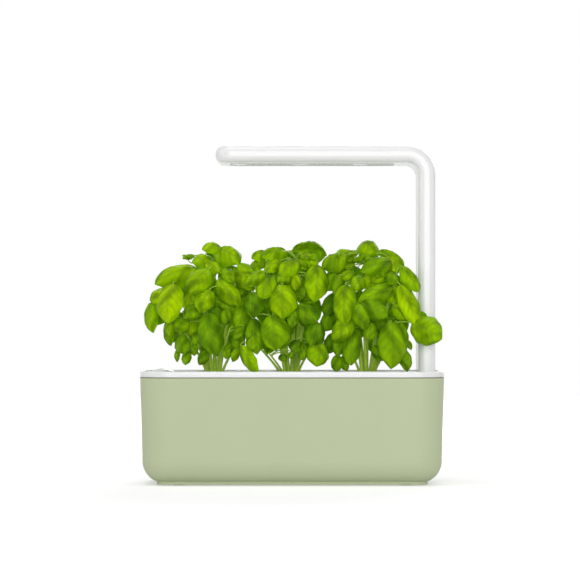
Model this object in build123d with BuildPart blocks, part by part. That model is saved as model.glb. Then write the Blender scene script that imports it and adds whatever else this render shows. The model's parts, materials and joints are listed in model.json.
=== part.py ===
from build123d import *
from math import copysign
import os

os.makedirs("parts", exist_ok=True)

# A countertop hydroponic garden, in millimetres. X is its length, Y its depth with the front at -Y, and Z is
# up from the surface that it stands on. The origin is on that surface, below the middle of the tub.

# Tub
base_length = 300
base_depth = 125
base_corner = 28
least_corner = 4
base_draft = 1.54
base_top = 106.4
base_wall = 2.6
bottom_round = 22
body_bottom = 4.4
round_sink = 2.4
plinth_inset = 16.2
plinth_bottom = 0.8

# Rubber feet
pad_radius = 7
pad_recess = 1.2
pad_end_inset = 38
pad_side_inset = 30.5

# Lid
shadow_gap = 0.6
shadow_depth = 1.0
lid_height = 5.1
lid_edge_round = 1.2
rim_width = 3.4
deck_drop = 1.8
deck_thickness = 2.2
lip_gap = 0.4
lip_width = 1.6
lip_length = 4.6

# Plant cups, pods and wicks
well_margin = 9.3
arm_margin = 22.5
cup_spacing = 20
cup_flange_thickness = 1.5
cup_flange_width = 3
cup_draft = 4.5
cup_depth = 60
cup_wall = 1.4
cup_hole_gap = 0.6
collar_wall = 1.6
collar_length = 6
wick_hole_radius = 4
wick_width = 6
wick_thickness = 1.6
wick_floor_gap = 2.6
cup_slots = 6
cup_slot_length = 9
cup_slot_width = 2.4
pod_gap = 0.5
pod_wall = 0.8
pod_height = 54.4
pod_hole_radius = 6
soil_gap = 0.15
soil_drop = 1.5

# Float and its well
well_inset = 20
float_radius = 12
float_gap = 0.7
float_length = 30
float_wall = 1.2
float_cap_height = 1.4
float_dome_height = 3.3
float_rise = 1.1
float_plug_length = 3
well_wall = 1.5
well_lip_height = 2
well_lip_width = 3.2
well_drop = 36
well_collar_width = 1.0
well_collar_height = 1.4
notch_width = 5
slot_width = 5
slot_lift = 4

# Arm
arm_inset = 16.5
arm_thickness = 17
arm_width = 62
arm_round = 7
arm_wall = 1.8
spigot_gap = 0.15
spigot_wall = 1.5
spigot_length = 22
socket_slack = 0.5
web_thickness = 2.5
arm_slot_gap = 0.5
lower_extension_top = 177
upper_extension_top = 242

# Lamp head
lamp_bottom = 318.5
lamp_reach = 209.5
lamp_end_corner = 15
bend_inner_radius = 11
cover_end_inset = 14
cover_arm_inset = 31.5
cover_depth = 43
cover_corner = 10
cover_gap = 0.25
clip_inset = 50
clip_width = 8
clip_thickness = 1.2
clip_slack = 0.1
lens_radius = 7
lens_gap = 0.1
lens_flange = 1.6
lens_flange_thickness = 1.1
lens_pitch = 60.3
lens_middle_inset = 83.5
vent_radius = 1.2
vent_pitch = 5.2
vent_columns = 7
vent_rows = 5
vent_row_spacing = 6.2
window_margin = 4
window_depth = 20
board_length = 150
board_depth = 40
led_board_thickness = 1.2
sink_thickness = 2
led_height = 0.9
led_size = 3.5
led_spacing = 6
led_air = 0.6
post_radius = 3.2
post_x = 62
post_y = 13
lamp_screw_radius = 1.2
lamp_screw_head = 1
block_length = 10
block_depth = 16
block_height = 5
block_inset = 3

# Electrical contacts along the arm
contact_y = 12
contact_radius = 1.8
contact_bore = 1.2
contact_bore_depth = 9
pin_radius = 1.0
pin_length = 8.5
contact_tail = 6
contact_collar = 2
contact_plate_height = 4
contact_plate_gap = 0.5
contact_plate_margin = 1

# Dry bay at the right end of the tub
divider_inset = 44.5
divider_thickness = 2.5
ledge_width = 3
ledge_height = 4.6
gasket_thickness = 1
gasket_slack = 0.5
flange_thickness = 2.4
flange_gap = 0.6
flange_top = 103
boss_radius = 4
boss_inset = 36
boss_side_inset = 24.5
end_boss_side_inset = 16.5
socket_screw_radius = 1.5
socket_screw_length = 12
screw_slack = 0.05
screw_end_gap = 1
screw_head_height = 1.8
screw_head_round = 0.6
screw_head_ratio = 2
socket_floor = 2

# Control board in the bay
control_board_length = 30
control_board_side_inset = 29.5
control_board_thickness = 1.6
control_board_height = 30
control_board_inset = 23
board_post_radius = 3
board_screw_radius = 1.2
board_screw_length = 6
board_post_inset = 4
control_terminal_height = 4
socket_terminal_inset = 9
inlet_terminal_inset = 13
inlet_terminal_shift = 1.5
terminal_length = 12
terminal_depth = 6
chip_size = 9
coil_spacing = 1
coil_radius = 4.5
capacitor_radius = 3.5
capacitor_height = 8

# Power inlet in the rear wall of the bay
inlet_inset = 32.5
inlet_z = 44
inlet_pocket_radius = 9.5
inlet_pocket_depth = 3.3
inlet_flange_radius = 8.5
inlet_flange_thickness = 1.5
inlet_barrel_radius = 5.4
inlet_barrel_length = 15
inlet_hole_gap = 0.2
inlet_pad_radius = 12
inlet_pad_thickness = 2.4
inlet_bore_radius = 2.75
inlet_bore_depth = 9.5
inlet_pin_radius = 1.0
inlet_nut_width = 14
inlet_nut_thickness = 2.5

# Wires
wire_radius = 0.8
wire_spread = 2.5
wire_bend = 4
wire_rise = 12
lamp_cable_radius = 2
cable_bend = 15

# Plants
leaf_thickness = 1.0
stem_radius = 1.7
thin_stem_radius = 1.1
low_stem_height = 45
stem_spread = 0.2
petiole_radius = 0.9
stalk_drop = 0.12
stem_sink = 0.02
lowest_stalk = 0.25
highest_stalk = 0.97
heart_height = 60
heart_depth = 30
LEAF_TURN = (0.4, 1.0, 0.5)

# Sizes worked out from those above
round_bottom = body_bottom - round_sink
lid_bottom = base_top + shadow_gap
lid_top = lid_bottom + lid_height
deck_top = lid_top - deck_drop
deck_bottom = deck_top - deck_thickness
flange_bottom = flange_top - flange_thickness
boss_top = flange_bottom - gasket_thickness
inner_bottom = body_bottom + base_wall
spigot_thickness = arm_thickness - 2 * arm_wall - 2 * spigot_gap
spigot_width = arm_width - 2 * arm_wall - 2 * spigot_gap
spigot_round = arm_round - arm_wall - spigot_gap
spigot_bore = (
    spigot_thickness - 2 * spigot_wall,
    spigot_width - 2 * spigot_wall,
    spigot_round - spigot_wall,
)
socket_depth = spigot_length + socket_slack
lamp_top = lamp_bottom + arm_thickness
arm_x = base_length / 2 - arm_inset
arm_left = arm_x - arm_thickness / 2
arm_right = arm_x + arm_thickness / 2
lamp_end = arm_x - lamp_reach
cover_left = lamp_end + cover_end_inset
cover_right = arm_x - cover_arm_inset
lens_middle_x = lamp_end + lens_middle_inset
pad_x = base_length / 2 - pad_end_inset
pad_y = base_depth / 2 - pad_side_inset
divider_x = base_length / 2 - divider_inset
boss_x = base_length / 2 - boss_inset
boss_y = base_depth / 2 - boss_side_inset
end_boss_y = base_depth / 2 - end_boss_side_inset
bosses = [(boss_x, -boss_y), (boss_x, boss_y), (arm_x, -end_boss_y), (arm_x, end_boss_y)]
control_board_x = base_length / 2 - control_board_inset
control_board_depth = base_depth - 2 * control_board_side_inset
socket_terminal_y = socket_terminal_inset - control_board_depth / 2
inlet_terminal_y = control_board_depth / 2 - inlet_terminal_inset
inlet_x = base_length / 2 - inlet_inset
inlet_pocket_floor = base_depth / 2 - inlet_pocket_depth
inlet_pad_face = inlet_pocket_floor - inlet_pad_thickness
inlet_terminal_x = inlet_x + inlet_terminal_shift
well_x = -base_length / 2 + well_inset
well_radius = float_radius + float_gap
well_edge = well_x + well_radius + well_wall + well_collar_width
cup_flange_radius = (arm_left - arm_margin - well_edge - well_margin - 2 * cup_spacing) / 6
plant_pitch = 2 * cup_flange_radius + cup_spacing
plant_ratio = plant_pitch / 76
cup_top_radius = cup_flange_radius - cup_flange_width
cup_bottom_radius = cup_top_radius - cup_draft
cup_bottom = deck_top - cup_depth
cup_floor = cup_bottom + cup_wall
pod_top = cup_floor + pod_height
soil_bottom = cup_floor + pod_wall
soil_top = pod_top - soil_drop
float_top = deck_top + float_rise
float_bottom = float_top - float_cap_height - float_length
well_bottom = float_bottom - well_drop - well_lip_height
first_plant_x = well_edge + well_margin + cup_flange_radius
plant_x = {
    "left": first_plant_x,
    "middle": first_plant_x + plant_pitch,
    "right": first_plant_x + 2 * plant_pitch,
}

all_parts = []


def keep(piece, name):
    """Labels a finished piece and keeps it for export."""
    piece.label = name
    all_parts.append(piece)


def plan_outline(inset, mode=Mode.ADD):
    """Sketches the tub's plan outline, moved inwards."""
    corner = max(base_corner - inset, least_corner)
    RectangleRounded(base_length - 2 * inset, base_depth - 2 * inset, corner, mode=mode)


def tub(inset):
    """A tub that narrows towards its rounded, flattened bottom, drawn inside the outer faces by an inset."""
    with BuildPart() as body:
        with BuildSketch(Plane.XY.offset(base_top)):
            plan_outline(inset)
        extrude(amount=base_top - round_bottom - inset, taper=base_draft)
        fillet(body.faces().sort_by(Axis.Z)[-1].edges(), bottom_round - inset)
        mirror(about=Plane.XY.offset(base_top), mode=Mode.REPLACE)
        split(bisect_by=Plane.XY.offset(body_bottom + inset))
    return body.part


def rod(start, end, radius):
    """Adds a straight round rod to the piece being built."""
    run = Vector(*end) - Vector(*start)
    with BuildSketch(Plane(origin=start, z_dir=run)) as section:
        Circle(radius)
    extrude(section.sketch, amount=run.length)


# Tub ----------------------------------------------------------------------------------------------

outer_tub = tub(0)
hollow = tub(base_wall)

with BuildPart() as fittings:
    # the wall between the water and the dry bay, and the bosses for the socket's screws
    with BuildSketch(Plane.XY.offset(body_bottom)):
        with Locations((divider_x + divider_thickness / 2, 0)):
            Rectangle(divider_thickness, base_depth)
        with Locations(bosses):
            Circle(boss_radius)
    extrude(amount=boss_top - body_bottom)
    # the ledge that the socket's flange rests on
    with BuildSketch(Plane.XY.offset(boss_top - ledge_height)):
        plan_outline(0)
        plan_outline(base_wall + ledge_width, mode=Mode.SUBTRACT)
        with Locations((divider_x, 0)):
            Rectangle(base_length, base_depth, align=(Align.MIN, Align.CENTER), mode=Mode.INTERSECT)
    extrude(amount=ledge_height)
    # posts under the control board
    with BuildSketch(Plane.XY.offset(body_bottom)):
        with Locations((control_board_x, 0)):
            with GridLocations(
                control_board_length - 2 * board_post_inset, control_board_depth - 2 * board_post_inset, 2, 2
            ):
                Circle(board_post_radius)
    extrude(amount=control_board_height - body_bottom)
    # the flat pad that the power inlet clamps to
    with BuildSketch(Plane(origin=(inlet_x, inlet_pad_face, inlet_z), z_dir=(0, 1, 0))):
        Circle(inlet_pad_radius)
    extrude(amount=inlet_pad_thickness + base_wall)
    add(hollow, mode=Mode.INTERSECT)

with BuildPart() as base_shell:
    add(outer_tub)
    add(hollow, mode=Mode.SUBTRACT)
    add(fittings.part)
    # the recessed plinth, a skirt with a boss for each foot
    with BuildSketch(Plane.XY.offset(plinth_bottom)):
        plan_outline(plinth_inset)
    extrude(amount=body_bottom - plinth_bottom)
    with BuildSketch(Plane.XY.offset(plinth_bottom)):
        plan_outline(plinth_inset + base_wall)
        with GridLocations(2 * pad_x, 2 * pad_y, 2, 2):
            Circle(pad_radius + base_wall, mode=Mode.SUBTRACT)
    extrude(amount=body_bottom - plinth_bottom, mode=Mode.SUBTRACT)
    with BuildSketch(Plane.XY.offset(plinth_bottom)):
        with GridLocations(2 * pad_x, 2 * pad_y, 2, 2):
            Circle(pad_radius)
    extrude(amount=pad_recess, mode=Mode.SUBTRACT)
    # screw holes in the bosses and in the board's posts
    with Locations([(x, y, boss_top) for x, y in bosses]):
        Hole(socket_screw_radius + screw_slack, depth=socket_screw_length)
    with Locations((control_board_x, 0, control_board_height)):
        with GridLocations(
            control_board_length - 2 * board_post_inset, control_board_depth - 2 * board_post_inset, 2, 2
        ):
            Hole(board_screw_radius + screw_slack, depth=board_screw_length)
    # the power inlet's pocket and hole
    with BuildSketch(Plane(origin=(inlet_x, inlet_pocket_floor, inlet_z), z_dir=(0, 1, 0))):
        Circle(inlet_pocket_radius)
    extrude(amount=base_depth / 2, mode=Mode.SUBTRACT)
    with BuildSketch(Plane(origin=(inlet_x, 0, inlet_z), z_dir=(0, 1, 0))):
        Circle(inlet_barrel_radius + inlet_hole_gap)
    extrude(amount=base_depth / 2, mode=Mode.SUBTRACT)
keep(base_shell.part, "base_shell")

with BuildPart() as foot_pads:
    with BuildSketch(Plane.XY):
        with GridLocations(2 * pad_x, 2 * pad_y, 2, 2):
            Circle(pad_radius)
    extrude(amount=plinth_bottom + pad_recess)
keep(foot_pads.part, "foot_pads")

# Dry bay ------------------------------------------------------------------------------------------


def bay_outline(gap, left):
    """Sketches the bay's plan inside the tub's walls, from a left edge to the tub's right end."""
    plan_outline(base_wall + gap)
    with Locations((left, 0)):
        Rectangle(base_length, base_depth, align=(Align.MIN, Align.CENTER), mode=Mode.INTERSECT)


def arm_section(thickness, width, corner, mode=Mode.ADD):
    """Sketches a rounded section of the arm."""
    with Locations((arm_x, 0)):
        RectangleRounded(thickness, width, corner, mode=mode)


with BuildPart() as bay_gasket:
    with BuildSketch(Plane.XY.offset(boss_top)):
        bay_outline(flange_gap, divider_x)
        with Locations(bosses):
            Circle(socket_screw_radius + 2 * screw_slack, mode=Mode.SUBTRACT)
        arm_section(
            arm_thickness + 2 * gasket_slack, arm_width + 2 * gasket_slack, arm_round, mode=Mode.SUBTRACT
        )
    extrude(amount=gasket_thickness)
keep(bay_gasket.part, "bay_gasket")

with BuildPart() as column_socket:
    with BuildSketch(Plane.XY.offset(flange_bottom)):
        bay_outline(flange_gap, divider_x)
        with Locations(bosses):
            Circle(socket_screw_radius + 2 * screw_slack, mode=Mode.SUBTRACT)
    extrude(amount=flange_thickness)
    with BuildSketch(Plane.XY.offset(flange_top - socket_depth - socket_floor)):
        arm_section(arm_thickness, arm_width, arm_round)
    extrude(amount=socket_depth + socket_floor)
    with BuildSketch(Plane.XY.offset(flange_top - socket_depth)):
        arm_section(arm_thickness - 2 * arm_wall, arm_width - 2 * arm_wall, arm_round - arm_wall)
    extrude(amount=socket_depth, mode=Mode.SUBTRACT)
    with BuildSketch(Plane.XY.offset(flange_top - socket_depth - socket_floor)):
        with Locations((arm_x, -contact_y), (arm_x, contact_y)):
            Circle(pin_radius + screw_slack)
    extrude(amount=socket_floor, mode=Mode.SUBTRACT)
keep(column_socket.part, "column_socket")

with BuildPart() as socket_screws:
    with BuildSketch(Plane.XY.offset(boss_top - socket_screw_length + screw_end_gap)):
        with Locations(bosses):
            Circle(socket_screw_radius)
    extrude(amount=flange_top - boss_top + socket_screw_length - screw_end_gap)
    with BuildSketch(Plane.XY.offset(flange_top)):
        with Locations(bosses):
            Circle(screw_head_ratio * socket_screw_radius)
    extrude(amount=screw_head_height)
    fillet(socket_screws.faces().group_by(Axis.Z)[-1].edges(), screw_head_round)
keep(socket_screws.part, "socket_screws")

socket_underside = flange_top - socket_depth - socket_floor
socket_contact_bottom = socket_underside - contact_tail

with BuildPart() as socket_contacts:
    with BuildSketch(Plane.XY.offset(socket_contact_bottom)):
        with Locations((arm_x, -contact_y), (arm_x, contact_y)):
            Circle(pin_radius)
    extrude(amount=contact_tail + socket_floor + pin_length)
    with BuildSketch(Plane.XY.offset(socket_underside - contact_collar)):
        with Locations((arm_x, -contact_y), (arm_x, contact_y)):
            Circle(contact_radius)
    extrude(amount=contact_collar)
keep(socket_contacts.part, "socket_contacts")

with BuildPart() as control_board:
    with BuildSketch(Plane.XY.offset(control_board_height)):
        with Locations((control_board_x, 0)):
            Rectangle(control_board_length, control_board_depth)
            with GridLocations(
                control_board_length - 2 * board_post_inset, control_board_depth - 2 * board_post_inset, 2, 2
            ):
                Circle(board_screw_radius + 2 * screw_slack, mode=Mode.SUBTRACT)
    extrude(amount=control_board_thickness)
    # the timer chip, a coil, a capacitor and the two terminal blocks
    with BuildSketch(Plane.XY.offset(control_board_height + control_board_thickness)):
        with Locations((control_board_x, socket_terminal_y / 4)):
            Rectangle(chip_size, chip_size)
        with Locations((control_board_x, socket_terminal_y), (inlet_terminal_x, inlet_terminal_y)):
            Rectangle(terminal_length, terminal_depth)
    extrude(amount=control_terminal_height)
    with BuildSketch(Plane.XY.offset(control_board_height + control_board_thickness)):
        with Locations((control_board_x, inlet_terminal_y / 2)):
            Circle(capacitor_radius)
        with Locations((control_board_x + 2 * coil_radius + coil_spacing, inlet_terminal_y / 2)):
            Circle(coil_radius)
    extrude(amount=capacitor_height)
keep(control_board.part, "control_board")

with BuildPart() as board_screws:
    with BuildSketch(Plane.XY.offset(control_board_height - board_screw_length + screw_end_gap)):
        with Locations((control_board_x, 0)):
            with GridLocations(
                control_board_length - 2 * board_post_inset, control_board_depth - 2 * board_post_inset, 2, 2
            ):
                Circle(board_screw_radius)
    extrude(amount=board_screw_length - screw_end_gap + control_board_thickness)
    with BuildSketch(Plane.XY.offset(control_board_height + control_board_thickness)):
        with Locations((control_board_x, 0)):
            with GridLocations(
                control_board_length - 2 * board_post_inset, control_board_depth - 2 * board_post_inset, 2, 2
            ):
                Circle(screw_head_ratio * board_screw_radius)
    extrude(amount=screw_head_height)
keep(board_screws.part, "board_screws")

terminal_top = control_board_height + control_board_thickness + control_terminal_height

with BuildPart() as socket_wires:
    for side in (-1, 1):
        wire_start = (arm_x, side * contact_y, socket_contact_bottom)
        wire_knee = (arm_x, side * contact_y, terminal_top + wire_rise)
        wire_over = (control_board_x - side * wire_spread, socket_terminal_y, terminal_top + wire_rise)
        wire_end = (control_board_x - side * wire_spread, socket_terminal_y, terminal_top)
        with BuildLine():
            wire_path = FilletPolyline(wire_start, wire_knee, wire_over, wire_end, radius=wire_bend)
        with BuildSketch(Plane(origin=wire_path @ 0, z_dir=wire_path % 0)):
            Circle(wire_radius)
        sweep(path=wire_path)
keep(socket_wires.part, "socket_wires")

# Power inlet --------------------------------------------------------------------------------------

inlet_front = inlet_pocket_floor + inlet_flange_thickness

with BuildPart() as power_inlet:
    with BuildSketch(Plane(origin=(inlet_x, inlet_pocket_floor, inlet_z), z_dir=(0, 1, 0))):
        Circle(inlet_flange_radius)
    extrude(amount=inlet_flange_thickness)
    with BuildSketch(Plane(origin=(inlet_x, inlet_pocket_floor, inlet_z), z_dir=(0, -1, 0))):
        Circle(inlet_barrel_radius)
    extrude(amount=inlet_barrel_length)
    with BuildSketch(Plane(origin=(inlet_x, inlet_front, inlet_z), z_dir=(0, -1, 0))):
        Circle(inlet_bore_radius)
        Circle(inlet_pin_radius, mode=Mode.SUBTRACT)
    extrude(amount=inlet_bore_depth, mode=Mode.SUBTRACT)
keep(power_inlet.part, "power_inlet")

with BuildPart() as inlet_nut:
    with BuildSketch(Plane(origin=(inlet_x, inlet_pad_face, inlet_z), z_dir=(0, -1, 0))):
        RegularPolygon(inlet_nut_width / 2, 6, major_radius=False)
        Circle(inlet_barrel_radius + screw_slack, mode=Mode.SUBTRACT)
    extrude(amount=inlet_nut_thickness)
keep(inlet_nut.part, "inlet_nut")

with BuildPart() as inlet_wires:
    for side in (-1, 1):
        wire_start = (inlet_x + side * wire_spread, inlet_pocket_floor - inlet_barrel_length, inlet_z)
        wire_corner = (inlet_x + side * wire_spread, inlet_terminal_y, inlet_z)
        wire_end = (inlet_x + side * wire_spread, inlet_terminal_y, terminal_top)
        with BuildLine():
            wire_path = FilletPolyline(wire_start, wire_corner, wire_end, radius=wire_bend)
        with BuildSketch(Plane(origin=wire_path @ 0, z_dir=wire_path % 0)):
            Circle(wire_radius)
        sweep(path=wire_path)
keep(inlet_wires.part, "inlet_wires")

# Lid ----------------------------------------------------------------------------------------------

cup_centres = [(x, 0) for x in plant_x.values()]
cup_hole_radius = cup_top_radius + cup_hole_gap
collar_radius = cup_hole_radius + collar_wall

with BuildPart() as lid:
    with BuildSketch(Plane.XY.offset(lid_bottom)):
        plan_outline(0)
    extrude(amount=lid_height)
    fillet(lid.faces().sort_by(Axis.Z)[-1].edges(), lid_edge_round)
    with BuildSketch(Plane.XY.offset(deck_top)):
        plan_outline(rim_width)
    extrude(amount=deck_drop, mode=Mode.SUBTRACT)
    with BuildSketch(Plane.XY.offset(lid_bottom)):
        plan_outline(rim_width)
    extrude(amount=deck_bottom - lid_bottom, mode=Mode.SUBTRACT)
    # the seat on the tub's edge, set back by the shadow gap
    with BuildSketch(Plane.XY.offset(base_top)):
        plan_outline(shadow_depth)
        plan_outline(base_wall, mode=Mode.SUBTRACT)
    extrude(amount=shadow_gap)
    # the lip that centres the lid in the tub
    with BuildSketch(Plane.XY.offset(deck_bottom - lip_length)):
        plan_outline(base_wall + lip_gap)
        plan_outline(base_wall + lip_gap + lip_width, mode=Mode.SUBTRACT)
    extrude(amount=lip_length)
    # collars that guide the cups
    with BuildSketch(Plane.XY.offset(deck_bottom - collar_length)):
        with Locations(cup_centres):
            Circle(collar_radius)
    extrude(amount=collar_length)
    # the float's well, open at its foot but for a small lip, with a low collar above the deck
    with BuildSketch(Plane.XY.offset(well_bottom)):
        with Locations((well_x, 0)):
            Circle(well_radius + well_wall)
    extrude(amount=deck_bottom - well_bottom)
    with BuildSketch(Plane.XY.offset(deck_top)):
        with Locations((well_x, 0)):
            Circle(well_radius + well_wall + well_collar_width)
    extrude(amount=well_collar_height)
    with BuildSketch(Plane.XY.offset(well_bottom)):
        with Locations((well_x, 0)):
            Circle(well_radius - well_lip_width)
    extrude(amount=lid_top - well_bottom, mode=Mode.SUBTRACT)
    with BuildSketch(Plane.XY.offset(well_bottom + well_lip_height)):
        with Locations((well_x, 0)):
            Circle(well_radius)
    extrude(amount=lid_top - well_bottom, mode=Mode.SUBTRACT)
    # slots that let water into the well, and the pouring notch in its collar
    with BuildSketch(Plane.XY.offset(well_bottom + well_lip_height + slot_lift)):
        with Locations((well_x, 0)):
            Rectangle(slot_width, 3 * well_radius)
    extrude(amount=well_drop, mode=Mode.SUBTRACT)
    with BuildSketch(Plane.XY.offset(deck_top)):
        with Locations((well_x, 0)):
            Rectangle(2 * well_radius, notch_width, align=(Align.MIN, Align.CENTER))
    extrude(amount=well_collar_height, mode=Mode.SUBTRACT)
    # openings for the cups and the arm
    with BuildSketch(Plane.XY.offset(deck_bottom - collar_length)):
        with Locations(cup_centres):
            Circle(cup_hole_radius)
        arm_section(arm_thickness + 2 * arm_slot_gap, arm_width + 2 * arm_slot_gap, arm_round + arm_slot_gap)
    extrude(amount=lid_top - deck_bottom + collar_length, mode=Mode.SUBTRACT)
keep(lid.part, "lid")

# Float --------------------------------------------------------------------------------------------

with BuildPart() as float_body:
    with BuildSketch(Plane.XY.offset(float_bottom)):
        with Locations((well_x, 0)):
            Circle(float_radius)
    extrude(amount=float_length)
    fillet(float_body.faces().sort_by(Axis.Z)[0].edges(), float_wall)
    with BuildSketch(Plane.XY.offset(float_bottom + float_wall)):
        with Locations((well_x, 0)):
            Circle(float_radius - float_wall)
    extrude(amount=float_length, mode=Mode.SUBTRACT)
keep(float_body.part, "float_body")

dome_radius = (float_radius**2 + float_dome_height**2) / (2 * float_dome_height)

with BuildPart() as float_cap:
    with BuildSketch(Plane.XY.offset(float_bottom + float_length - float_plug_length)):
        with Locations((well_x, 0)):
            Circle(float_radius - float_wall - screw_slack)
    extrude(amount=float_plug_length)
    with BuildSketch(Plane.XY.offset(float_top - float_cap_height)):
        with Locations((well_x, 0)):
            Circle(float_radius)
    extrude(amount=float_cap_height + float_dome_height)
    with Locations((well_x, 0, float_top + float_dome_height - dome_radius)):
        Sphere(dome_radius, mode=Mode.INTERSECT)
keep(float_cap.part, "float_cap")

# Cups with their pods -----------------------------------------------------------------------------


def cup_radius(height):
    """The cup's outer radius at a height above the floor."""
    return cup_bottom_radius + (cup_top_radius - cup_bottom_radius) * (height - cup_bottom) / cup_depth


def turned(centre_x, points):
    """Adds a ring turned about a plant's axis from a closed outline of radius and height."""
    with BuildSketch(Plane(origin=(centre_x, 0, 0), x_dir=(1, 0, 0), z_dir=(0, -1, 0))) as profile:
        with BuildLine():
            Polyline(*points, close=True)
        make_face()
    revolve(profile.sketch, axis=Axis((centre_x, 0, 0), (0, 0, 1)))


for side, x in plant_x.items():
    with BuildPart() as cup:
        turned(
            x,
            [
                (wick_hole_radius, cup_bottom),
                (cup_bottom_radius, cup_bottom),
                (cup_top_radius, deck_top),
                (cup_flange_radius, deck_top),
                (cup_flange_radius, deck_top + cup_flange_thickness),
                (cup_top_radius - cup_wall, deck_top + cup_flange_thickness),
                (cup_radius(cup_floor) - cup_wall, cup_floor),
                (wick_hole_radius, cup_floor),
            ],
        )
        # slots in the floor let water drain and air in
        with BuildSketch(Plane.XY.offset(cup_bottom)):
            with Locations((x, 0)):
                with PolarLocations((wick_hole_radius + cup_bottom_radius) / 2, cup_slots):
                    SlotOverall(cup_slot_length, cup_slot_width)
        extrude(amount=cup_wall, mode=Mode.SUBTRACT)
    keep(cup.part, f"cup_{side}")

    with BuildPart() as pod:
        pod_low = cup_radius(cup_floor) - cup_wall - pod_gap
        pod_high = cup_radius(pod_top) - cup_wall - pod_gap
        turned(
            x,
            [
                (pod_hole_radius, cup_floor),
                (pod_low, cup_floor),
                (pod_high, pod_top),
                (pod_high - pod_wall, pod_top),
                (pod_low - pod_wall, soil_bottom),
                (pod_hole_radius, soil_bottom),
            ],
        )
    keep(pod.part, f"pod_{side}")

    with BuildPart() as soil:
        soil_low = pod_low - pod_wall - soil_gap
        soil_high = cup_radius(soil_top) - cup_wall - pod_gap - pod_wall - soil_gap
        turned(x, [(0, soil_bottom), (soil_low, soil_bottom), (soil_high, soil_top), (0, soil_top)])
    keep(soil.part, f"soil_{side}")

    with BuildPart() as wick:
        with BuildSketch(Plane.XY.offset(inner_bottom + wick_floor_gap)):
            with Locations((x, 0)):
                Rectangle(wick_width, wick_thickness)
        extrude(amount=soil_bottom - inner_bottom - wick_floor_gap)
    keep(wick.part, f"wick_{side}")

# Arm extensions -----------------------------------------------------------------------------------


def add_spigot(seat):
    """Adds the spigot below a seat, with its end web left solid."""
    with BuildSketch(Plane.XY.offset(seat - spigot_length)) as outside:
        arm_section(spigot_thickness, spigot_width, spigot_round)
    extrude(outside.sketch, amount=spigot_length)
    with BuildSketch(Plane.XY.offset(seat - spigot_length + web_thickness)) as inside:
        arm_section(*spigot_bore)
    extrude(inside.sketch, amount=spigot_length, mode=Mode.SUBTRACT)


def drill_webs(low, high):
    """Drills the holes that the contacts pass through."""
    with BuildSketch(Plane.XY.offset(low)) as holes:
        with Locations((arm_x, -contact_y), (arm_x, contact_y)):
            Circle(contact_radius + screw_slack)
    extrude(holes.sketch, amount=high - low, mode=Mode.SUBTRACT)


def extension(seat, top):
    """One arm extension: a flat tube with a spigot below and a socket above."""
    with BuildPart() as tube:
        with BuildSketch(Plane.XY.offset(seat)):
            arm_section(arm_thickness, arm_width, arm_round)
        extrude(amount=top - seat)
        for low, high in (
            (seat + web_thickness, top - socket_depth - web_thickness),
            (top - socket_depth, top),
        ):
            with BuildSketch(Plane.XY.offset(low)):
                arm_section(arm_thickness - 2 * arm_wall, arm_width - 2 * arm_wall, arm_round - arm_wall)
            extrude(amount=high - low, mode=Mode.SUBTRACT)
        add_spigot(seat)
        drill_webs(seat - spigot_length, top)
    return tube.part


def contacts(seat, top, with_pins):
    """The pair of contact rods of one arm piece: sockets below and, where something plugs in above, pins."""
    with BuildPart() as rods:
        for side in (-1, 1):
            with BuildSketch(Plane.XY.offset(seat - spigot_length)):
                with Locations((arm_x, side * contact_y)):
                    Circle(contact_radius)
            extrude(amount=top - seat + spigot_length)
            if with_pins:
                with BuildSketch(Plane.XY.offset(top)):
                    with Locations((arm_x, side * contact_y)):
                        Circle(pin_radius)
                extrude(amount=pin_length)
            with BuildSketch(Plane.XY.offset(seat - spigot_length)):
                with Locations((arm_x, side * contact_y)):
                    Circle(contact_bore)
            extrude(amount=contact_bore_depth, mode=Mode.SUBTRACT)
    return rods.part


for name, seat, top in (
    ("extension_lower", flange_top, lower_extension_top),
    ("extension_upper", lower_extension_top, upper_extension_top),
):
    keep(extension(seat, top), name)
    keep(contacts(seat, top - socket_depth, True), f"{name}_contacts")

# Lamp head ----------------------------------------------------------------------------------------

lamp_seat = upper_extension_top
cover_x = (cover_left + cover_right) / 2
cover_length = cover_right - cover_left
clip_pitch = cover_depth - clip_thickness - 2 * clip_slack
cover_top = lamp_bottom + arm_wall
led_bottom = cover_top + lens_flange_thickness + led_air
led_board_bottom = led_bottom + led_height
sink_bottom = led_board_bottom + led_board_thickness
sink_top = sink_bottom + sink_thickness
lens_x = {
    "left": lens_middle_x - lens_pitch,
    "middle": lens_middle_x,
    "right": lens_middle_x + lens_pitch,
}
window_length = vent_columns * vent_pitch - 2 * window_margin
vent_x = [(lens_x["left"] + lens_x["middle"]) / 2, (lens_x["middle"] + lens_x["right"]) / 2]
post_spots = [(lens_middle_x + dx, dy) for dx in (-post_x, 0, post_x) for dy in (-post_y, post_y)]


def lamp_band(inset, bottom):
    """The upside-down L of the lamp, drawn inside its outer faces by an inset."""
    with BuildPart() as band:
        with BuildSketch(Plane.XZ) as outline:
            with BuildLine():
                Polyline(
                    (lamp_end + inset, lamp_bottom + inset),
                    (arm_left + inset, lamp_bottom + inset),
                    (arm_left + inset, bottom),
                    (arm_right - inset, bottom),
                    (arm_right - inset, lamp_top - inset),
                    (lamp_end + inset, lamp_top - inset),
                    close=True,
                )
            make_face()
            inner_bend = outline.vertices().sort_by_distance((arm_left + inset, lamp_bottom + inset))[0]
            fillet(inner_bend, bend_inner_radius + inset)
            outer_bend = outline.vertices().sort_by_distance((arm_right - inset, lamp_top - inset))[0]
            fillet(outer_bend, bend_inner_radius + arm_thickness - inset)
        extrude(amount=arm_width / 2 - inset, both=True)
        fillet(band.edges().filter_by(Axis.Z).group_by(Axis.X)[0], lamp_end_corner - inset)
        long_edges = band.edges().filter_by(Axis.X)
        fillet(long_edges.filter_by(lambda edge: edge.center().Z > bottom + arm_wall), arm_round - inset)
    return band.part


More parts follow.
